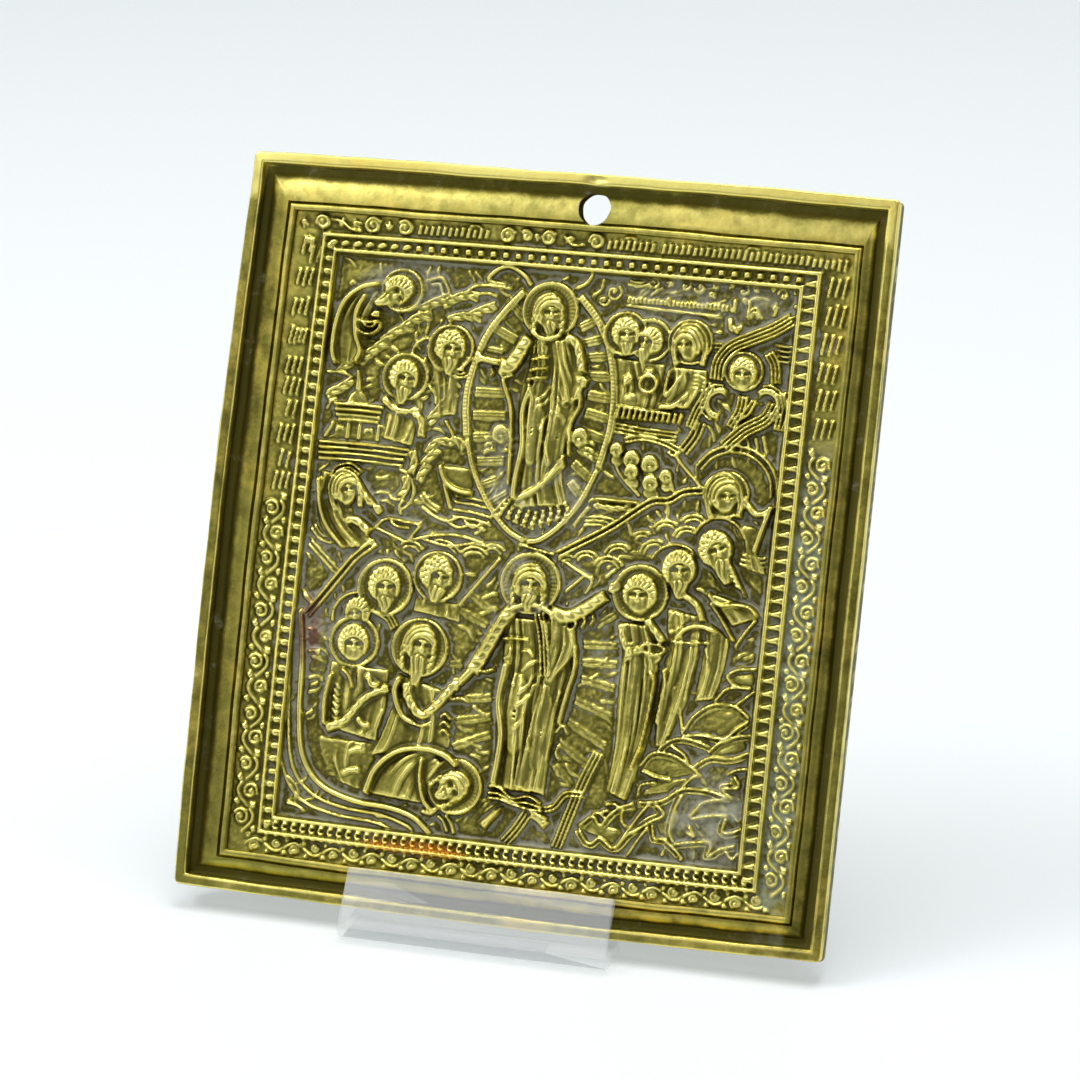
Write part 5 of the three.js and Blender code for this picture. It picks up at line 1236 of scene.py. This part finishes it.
def roundedRings(insets, radius, alongStep=0.9, cornerSteps=6):
    # one closed ring per station: the plate's rectangle drawn in by each side's inset, with its
    # corners on quarter circles; rows run round the plate and columns are the stations
    low = {"x": -halfWide + insets["left"], "y": -halfHigh + insets["bottom"]}
    high = {"x": halfWide - insets["right"], "y": halfHigh - insets["top"]}
    corners = (("x", low["x"], high["x"], low["y"], 0), ("y", low["y"], high["y"], high["x"], 90),
               ("x", high["x"], low["x"], high["y"], 180), ("y", high["y"], low["y"], low["x"], 270))
    xs, ys = [], []
    for axis, start, end, fixed, turn in corners:
        forward = 1 if turn < 180 else -1
        t = np.linspace(0, 1, int((plaque["width"] if axis == "x" else plaque["height"]) / alongStep))[:,
                None]
        along = (start + forward * radius) * (1 - t) + (end - forward * radius) * t
        still = fixed + 0 * t
        xs.append(along if axis == "x" else still)
        ys.append(still if axis == "x" else along)
        centreX = (high["x"] - radius) if turn in (0, 90) else (low["x"] + radius)
        centreY = (high["y"] - radius) if turn in (90, 180) else (low["y"] + radius)
        angle = np.radians(turn - 90 + np.linspace(0, 90, cornerSteps + 1)[1:-1])[:, None]
        xs.append(centreX + radius * np.cos(angle))
        ys.append(centreY + radius * np.sin(angle))
    return np.concatenate(xs), np.concatenate(ys)


# dents and lumps of the old casting: x, y, half width, half height, rise in mm
castMarks = (
    (4.2, 55.2, 0.8, 0.5, -0.42), (3.1, 54.6, 0.5, 0.4, -0.25), (11.7, 54.3, 0.28, 0.3, -0.35),
    (8.3, 55.0, 0.22, 0.9, 0.07),
    (46.6, -29.2, 3.4, 0.24, 0.16), (49.1, -34.0, 0.6, 0.3, -0.25), (-47.8, 53.5, 1.6, 1.6, 0.25),
    (-38.4, 50.2, 0.9, 0.2, -0.12),
    (-45.2, -52.6, 2.4, 1.0, 0.18), (47.6, 31.0, 0.4, 0.6, 0.1), (-46, 0.4, 0.5, 1.4, -0.12),
    (-20.6, 51.6, 3.5, 0.4, -0.08),
    (30.9, 52.2, 0.25, 0.5, 0.1), (1.5, -54.4, 5.0, 0.5, -0.1), (-30, -52, 1.2, 0.4, -0.1),
    (20, 49.6, 4, 0.4, 0.06),
)


def makeBody():
    stations = {side: mouldingStations(margin[side]) for side in sides}
    insets = {side: stations[side][None, :, 0] for side in sides}
    radius = np.maximum(moulding["corner"] - 0.5 * stations["left"][None, :, 0], 0.12)
    x, y = roundedRings(insets, radius, moulding["alongStep"])
    z = rimTop - stations["left"][None, :, 1] + 0 * x
    z = np.where(stations["left"][None, :, 1] > rimTop - 0.001, 0, z)
    # the hand-finished edge wanders a little, and the section swells and sinks along each side
    around = np.linspace(0, 2 * math.pi, len(x), endpoint=False)[:, None]
    station = np.arange(x.shape[1])[None, :]
    wander = np.sin(7 * around + 0.05 * station) + 0.7 * np.sin(17 * around + 1.3 + 0.11
            * station) + 0.4 * np.sin(41 * around + 0.6)
    facing = z > 0.6
    x = x + moulding["wobble"] * wander * x / 60 * facing
    y = y + moulding["wobble"] * wander * y / 60 * facing
    for markX, markY, wide, high, rise in castMarks:
        z = z + facing * (z > 1.6) * rise * np.exp(-((x - markX) / wide) ** 2 - ((y - markY) / high) ** 2)
    rows, columns = x.shape
    points = rowPlace(x, y, z).reshape(-1, 3)
    quads = gridFaces(columns, rows, closed=True)
    order = np.arange(rows * columns).reshape(rows, columns).T
    quads = order.ravel()[quads]
    body = surfaceObject("iconBody", points, quads, [order[0], order[-1][::-1]])
    cutter = makeHolePlug()
    cut = body.modifiers.new("hangHole", "BOOLEAN")
    cut.operation, cut.solver, cut.object = "DIFFERENCE", "EXACT", cutter
    settle(body)
    bpy.data.objects.remove(cutter)
    body.data.shade_smooth()
    body.data.set_sharp_from_angle(angle=math.radians(38))
    bodyLayers(body)
    print("stage: body made", len(body.data.polygons))
    return body


def settle(made):
    # put the modifiers' result into the mesh itself
    made.update_tag()
    bpy.context.view_layer.update()
    graph = bpy.context.evaluated_depsgraph_get()
    finished = bpy.data.meshes.new_from_object(made.evaluated_get(graph))
    made.modifiers.clear()
    made.data = finished


def makeHolePlug():
    # the drill that cuts the hang hole: a slightly uneven tube through the moulding, flared where
    # the nail has worn the front edge
    angle = np.linspace(0, 2 * math.pi, 64, endpoint=False)[:, None]
    level = np.array([-1.5, 0.0, 0.35, 1.2, 2.2, 3.0, 3.4, 5.5])[None, :]
    flare = np.array([0.12, 0.12, 0.0, 0.0, 0.03, 0.12, 0.22, 0.3])[None, :]
    radius = moulding["holeRadius"] + flare + 0.05 * np.sin(3 * angle) + 0.03 * np.sin(7 * angle + 1)
    x = moulding["holeX"] + radius * np.cos(angle)
    y = halfHigh - moulding["holeFromTop"] + radius * np.sin(angle)
    points = rowPlace(x, y, level + 0 * x).reshape(-1, 3)
    order = np.arange(x.size).reshape(x.shape).T
    quads = order.ravel()[gridFaces(x.shape[1], x.shape[0], closed=True)]
    return surfaceObject("holePlug", points, quads, [order[0][::-1], order[-1]])


def faceCoordinates(made):
    # back from the row frame to the plaque's own x, y and z, by undoing lean, place and belly
    co = np.zeros(len(made.data.vertices) * 3, np.float32)
    made.data.vertices.foreach_get("co", co)
    co = co.reshape(-1, 3).astype(float) / mm
    footX, footY, footZ = plaque["backFoot"]
    lean = plaque["lean"]
    y = (co[:, 1] - footY) * math.sin(lean) + (co[:, 2] - footZ) * math.cos(lean) - halfHigh
    z = -(co[:, 1] - footY) * math.cos(lean) + (co[:, 2] - footZ) * math.sin(lean)
    x = co[:, 0] - footX
    bentX, bentY = bowed(x, y)
    return x - (bentX - x), y - (bentY - y), z


def bodyLayers(body):
    x, y, z = faceCoordinates(body)
    insets = np.stack([(x + halfWide) / margin["left"], (halfWide - x) / margin["right"],
                       (halfHigh - y) / margin["top"], (y + halfHigh) / margin["bottom"]])
    across = insets.min(axis=0)
    depth = rimTop - z
    rimLine = np.exp(-((across - 0.215) / 0.02) ** 2) + np.exp(-((across - 0.01) / 0.02) ** 2)
    crest = np.clip(0.9 * rimLine + 0.5 * np.exp(-((depth - 1.0) / 0.1) ** 2) - 0.3, -1, 1)
    hollow = smoothstep(1.35, 2.0, depth) * (z > 1.2)
    front = smoothstep(1.4, 3.2, z)
    pointValues(body, crest=crest * front + 0.05 * (1 - front), hollow=hollow, front=front, faceX=x, faceY=y,
                lift=np.clip((z - 1.75) / 1.9, 0, 1) * front + 0.4 * (1 - front))


easel = {"bevel": 0.22, "segments": 3}


def makeEasel():
    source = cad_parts["stand"].data
    mesh = source.copy()
    mesh.name = "easel"
    made = bpy.data.objects.new("easel", mesh)
    bpy.context.scene.collection.objects.link(made)
    welded = made.modifiers.new("weld", "WELD")
    welded.merge_threshold = 0.00002
    settle(made)
    soft = made.modifiers.new("bevel", "BEVEL")
    soft.width, soft.segments = easel["bevel"] * mm, easel["segments"]
    soft.limit_method, soft.angle_limit = "ANGLE", math.radians(50)
    settle(made)
    made.data.materials.clear()
    made.data.shade_smooth()
    made.data.set_sharp_from_angle(angle=math.radians(30))
    print("stage: easel made", len(made.data.polygons))
    return made


class Wire:
    # a socket that can be used in plain arithmetic: every operation adds one Math node
    def __init__(self, finish, socket):
        self.finish, self.socket = finish, socket

    def maths(self, operation, other, flipped=False, clamped=False):
        values = (other, self) if flipped else (self, other)
        return self.finish.node("ShaderNodeMath", {"operation": operation, "use_clamp": clamped},
                {0: values[0], 1: values[1]})

    def __add__(self, other): return self.maths("ADD", other)
    def __radd__(self, other): return self.maths("ADD", other, True)
    def __sub__(self, other): return self.maths("SUBTRACT", other)
    def __rsub__(self, other): return self.maths("SUBTRACT", other, True)
    def __mul__(self, other): return self.maths("MULTIPLY", other)
    def __rmul__(self, other): return self.maths("MULTIPLY", other, True)
    def most(self, other): return self.maths("MAXIMUM", other)
    def clamp(self): return self.maths("ADD", 0.0, clamped=True)

    def between(self, low, high):
        # 0 at low, 1 at high, held inside 0 to 1
        return self.finish.node("ShaderNodeMapRange", {"interpolation_type": "SMOOTHSTEP"},
                {0: self, 1: low, 2: high, 3: 0.0, 4: 1.0})


class Finish:
    # one material: node() adds any node from its type, its settings and what goes into it
    def __init__(self, name):
        self.material = bpy.data.materials.new(name)
        self.material.use_nodes = True
        self.tree = self.material.node_tree
        self.shader = next(n for n in self.tree.nodes if n.type == "BSDF_PRINCIPLED")

    def feed(self, socket, value):
        if isinstance(value, Wire):
            self.tree.links.new(value.socket, socket)
        elif hasattr(value, "__len__") and len(value) == 3 and socket.type == "RGBA":
            socket.default_value = (*value, 1.0)
        else:
            socket.default_value = value

    def node(self, kind, settings=None, inputs=None, output=0):
        made = self.tree.nodes.new(kind)
        for key, value in (settings or {}).items():
            setattr(made, key, value)
        for key, value in (inputs or {}).items():
            self.feed(made.inputs[key], value)
        return Wire(self, made.outputs[output])

    def attribute(self, name):
        return self.node("ShaderNodeAttribute", {"attribute_name": name}, output="Fac")

    def coordinates(self):
        return self.node("ShaderNodeTexCoord", output="Object")

    def noise(self, where, scale, detail=3.0, rough=0.55):
        return self.node("ShaderNodeTexNoise", {},
                {"Vector": where, "Scale": scale, "Detail": detail, "Roughness": rough}, output="Fac")

    def blend(self, share, first, second):
        return self.node("ShaderNodeMix", {"data_type": "RGBA"}, {0: share, 6: first, 7: second}, output=2)

    def spot(self, faceX, faceY, x, y, wide, high):
        # 1 at a place on the face, falling to 0 at the edge of an ellipse
        across, up = (faceX - x) * (1 / wide), (faceY - y) * (1 / high)
        return (1 - (across * across + up * up).between(0.2, 1.0)) * self.attribute("front")

    def bump(self, height, strength, distance, under=None):
        inputs = {"Height": height, "Strength": strength, "Distance": distance}
        if under:
            inputs["Normal"] = under
        return self.node("ShaderNodeBump", {}, inputs)

    def surface(self, **values):
        for name, value in values.items():
            self.feed(self.shader.inputs[name.replace("_", " ")], value)


brassColours = {
    "bright": (0.87, 0.775, 0.225), "body": (0.37, 0.335, 0.068), "deep": (0.075, 0.066, 0.012),
    "dust": (0.41, 0.405, 0.32), "verdigris": (0.35, 0.40, 0.30), "amber": (0.80, 0.58, 0.10),
    "warm": (0.80, 0.36, 0.04), "rust": (0.20, 0.10, 0.07),
}


# coloured stains: colour, x, y, half width, half height in mm, share, unevenness
stains = (("warm", -13.0, -46.2, 10.0, 1.4, 0.5, 3.0), ("rust", -33.0, -15.5, 2.4, 7.0, 0.8, 2.0))

# places where pale film has settled: x, y, half width, half height in mm, share
pale = ((0.6, -5.2, 6.0, 5.5, 0.9), (-24.0, 37.0, 9.0, 5.0, 0.7), (22.0, 39.0, 15.0, 4.0, 0.6),
        (-4.0, 12.0, 7.0, 9.0, 0.6), (31.0, -38.0, 8.0, 9.0, 0.8), (1.5, 8.0, 9.0, 6.0, 0.6))


def brassFinish():
    finish = Finish("agedBrass")
    where = finish.coordinates()
    crest, hollow, lift = finish.attribute("crest"), finish.attribute("hollow"), finish.attribute("lift")
    faceX, faceY, front = finish.attribute("faceX"), finish.attribute("faceY"), finish.attribute("front")
    cloud, mottle, grain = finish.noise(where, 60.0, 4.0), finish.noise(where, 520.0, 4.0,
            0.65), finish.noise(where, 2600.0, 3.0, 0.6)
    patch = finish.noise(where, 210.0, 6.0, 0.7) - 0.5
    spread, speck = cloud - 0.5, mottle - 0.5
    # handled high places are bright, hollows keep a dark brown skin
    low = 1 - lift.between(0.04, 0.22)
    # painted highlight and painted shade: the top moulding is painted bright, and the upright sides of the
    # moulding are painted a darker brown
    topPaintedHighlight, sideways = faceY.between(48.0, 51.0) * front, (faceX * faceX).between(1850, 2020) * front
    sidePaintedShade = sideways * (0.5 - topPaintedHighlight * 0.5)
    # bright brass from wear on crests and high places, plus the painted highlight on the top moulding
    wearAndPaintedHighlight = (crest * 0.95 + lift.between(0.62,
            1.05) * 0.5 + lift * 0.12 + speck * 1.0 + patch * 1.3 + spread * 1.2
            + topPaintedHighlight * 0.9 - sidePaintedShade * 0.5).between(0.05, 1.0)
    # dark brown from the skin in hollows and on the low ground, plus the painted shade on the upright sides
    # of the moulding
    skinAndPaintedShade = (hollow * 0.85 - crest * 0.5 + low * 0.30 + speck * 0.8 - patch * 1.2 + spread * 1.0 + sidePaintedShade * 0.55
            - topPaintedHighlight * 0.3 + (1 - front) * 0.3).between(-0.05, 0.85)
    metal = finish.blend(wearAndPaintedHighlight, brassColours["body"], brassColours["bright"])
    metal = finish.blend(skinAndPaintedShade * 0.9, metal, brassColours["deep"])
    frameShare = (faceX * faceX).between(1640,
            1800).most(faceY.between(46.6, 47.6)).most((faceY * -1.0).between(48.6, 49.8)) * front
    amber = (patch * 2.0 + spread * 2.4 + 0.35).between(0.1, 1.0) * frameShare * (1 - skinAndPaintedShade) * 0.55
    metal = finish.blend(amber, metal, brassColours["amber"])
    # grey film lies in patches on the lowest ground only
    dust = (low * 0.9 + speck * 3.0 + spread * 4.4 - crest * 1.2 - 1.1).between(0.0, 1.2) * 0.62
    green = faceX.between(37.0, 41.0) * (1 - faceX.between(43.4, 44.4)) * (1 - faceY.between(6.0,
            24.0)) * front
    film = (hollow * 0.45 + patch * 4.4 + speck * 2.2 - 0.75).between(0.0, 1.0) * 0.52
    dust = dust.most(film)
    for x, y, wide, high, share in pale:
        dust = dust.most(finish.spot(faceX, faceY, x, y, wide,
                high) * (0.55 - lift + patch * 4.0 + speck * 3.0).clamp() * share)
    dust = dust.most(green * (1 - lift.between(0.28, 0.5)) * (0.5 + speck * 2.6 + patch * 1.5)).clamp()
    for colour, x, y, wide, high, share, uneven in stains:
        stained = (share + patch * uneven).clamp()
        metal = finish.blend(finish.spot(faceX, faceY, x, y, wide, high) * stained, metal,
                brassColours[colour])
    ash = finish.blend(green, brassColours["dust"], brassColours["verdigris"])
    colour = finish.blend(dust, metal, ash)
    finish.surface(Base_Color=colour, Metallic=1 - dust * 0.92,
            Roughness=(0.35 + skinAndPaintedShade * 0.16 + dust * 0.36 + speck * 0.2).clamp())
    fine = finish.bump(grain, 0.3, 0.00004)
    finish.surface(Normal=finish.bump(mottle, 0.4, 0.00012, fine))
    return finish.material


acrylicLook = {"colour": (0.93, 0.96, 0.98), "roughness": 0.06, "bending": 1.49, "least": 0.17, "grazingPaintedReflection": 0.5}


def acrylicFinish():
    finish = Finish("clearAcrylic")
    look = acrylicLook
    # the white base, seen at part opacity, is a painted reflection of the bright room; more of it shows where
    # the sheet is seen at a grazing angle
    finish.surface(Base_Color=look["colour"], Metallic=0.0, Roughness=look["roughness"], IOR=look["bending"])
    grazingPaintedReflection = finish.node("ShaderNodeLayerWeight", {}, {"Blend": 0.3}, output="Facing")
    finish.surface(Alpha=(look["least"] + grazingPaintedReflection * grazingPaintedReflection * look["grazingPaintedReflection"]).clamp())
    return finish.material


studio = {
    "paper": (0.45, 0.47, 0.475), "paperGlow": (0.88, 0.93, 0.94), "glowStrength": 0.37,
    "air": (0.96, 0.97, 1.0, 1), "airStrength": 0.24,
    "cameraPlace": (0.15447, -0.54015, 0.26422), "cameraTurn": (69.581, 0.0, 15.893), "lens": 133.333,
    "floorSize": 9.0, "wallAt": 1.1,
}


# soft boxes: name, place, aim, size in metres, power in watts
softBoxes = (
    ("boxKey", (-0.60, -0.22, 0.86), (0, 0, 0.05), 0.38, 5.4),
    ("boxFront", (-0.36, -0.80, 0.66), (0, 0, 0.05), 0.5, 0.9),
    ("boxAbove", (0.05, 0.10, 0.95), (0, 0, 0.05), 0.45, 5.8),
    ("boxLeft", (-0.95, -0.30, 0.30), (0, 0, 0.05), 0.5, 1.1),
    ("boxRight", (0.95, -0.35, 0.40), (0, 0, 0.05), 0.5, 1.3),
    ("boxFloor", (0.7, 0.3, 1.1), (0.2, 0.1, 0.0), 1.2, 1.5),
    ("boxBehind", (0.2, 0.5, 1.2), (0.1, 1.3, 0.3), 1.2, 1.2),
)


def makeCamera():
    data = bpy.data.cameras.new("camera")
    data.lens, data.sensor_width, data.clip_start, data.clip_end = studio["lens"], 36.0, 0.01, 20.0
    camera = bpy.data.objects.new("camera", data)
    camera.location = studio["cameraPlace"]
    camera.rotation_euler = [math.radians(a) for a in studio["cameraTurn"]]
    bpy.context.scene.collection.objects.link(camera)
    bpy.context.scene.camera = camera


def makeStudio():
    # floor and backdrop as one sweep: flat, then a quarter circle, then upright
    wide, bend, far = studio["floorSize"], 0.5, studio["wallAt"]
    arc = np.linspace(0, math.pi / 2, 14)
    profileY = np.concatenate([[-wide], np.linspace(-1.0, far, 6), far + bend * np.sin(arc[1:]),
            [far + bend]])
    profileZ = np.concatenate([np.zeros(7), bend - bend * np.cos(arc[1:]), [wide]])
    x = np.array([-wide, wide])
    points = np.stack([np.repeat(x, len(profileY)), np.tile(profileY, 2), np.tile(profileZ, 2)], axis=-1)
    sweep = surfaceObject("sweep", points, gridFaces(2, len(profileY)), flipped=True)
    paper = Finish("palePaper")
    paper.surface(Base_Color=studio["paper"], Roughness=0.6)
    # the paper glows: painted light that lifts the shadows on the floor and brightens the backdrop
    paper.surface(Emission_Color=studio["paperGlow"], Emission_Strength=studio["glowStrength"])
    sweep.data.materials.append(paper.material)
    world = bpy.data.worlds.new("studioAir")
    world.use_nodes = True
    air = world.node_tree.nodes["Background"].inputs
    air["Color"].default_value, air["Strength"].default_value = studio["air"], studio["airStrength"]
    bpy.context.scene.world = world
    for name, place, aim, size, power in softBoxes:
        light = bpy.data.lights.new(name, "AREA")
        light.size, light.energy = size, power
        lamp = bpy.data.objects.new(name, light)
        direction = np.array(aim) - np.array(place)
        lamp.location = place
        flat = math.hypot(direction[0], direction[1])
        lamp.rotation_euler = (math.atan2(flat, -direction[2]), 0,
                math.atan2(direction[1], direction[0]) - math.pi / 2)
        bpy.context.scene.collection.objects.link(lamp)


bpy.context.scene.view_settings.view_transform = "Standard"
makeCamera()
makeStudio()
brass, acrylic = brassFinish(), acrylicFinish()
iconPieces = [makeBody(), *makeRelief()]
for piece in iconPieces:
    piece.data.materials.append(brass)
    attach(piece, "root")
    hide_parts("icon")
stand = makeEasel()
stand.data.materials.append(acrylic)
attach(stand, "root")
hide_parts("stand")

print("stage: done")
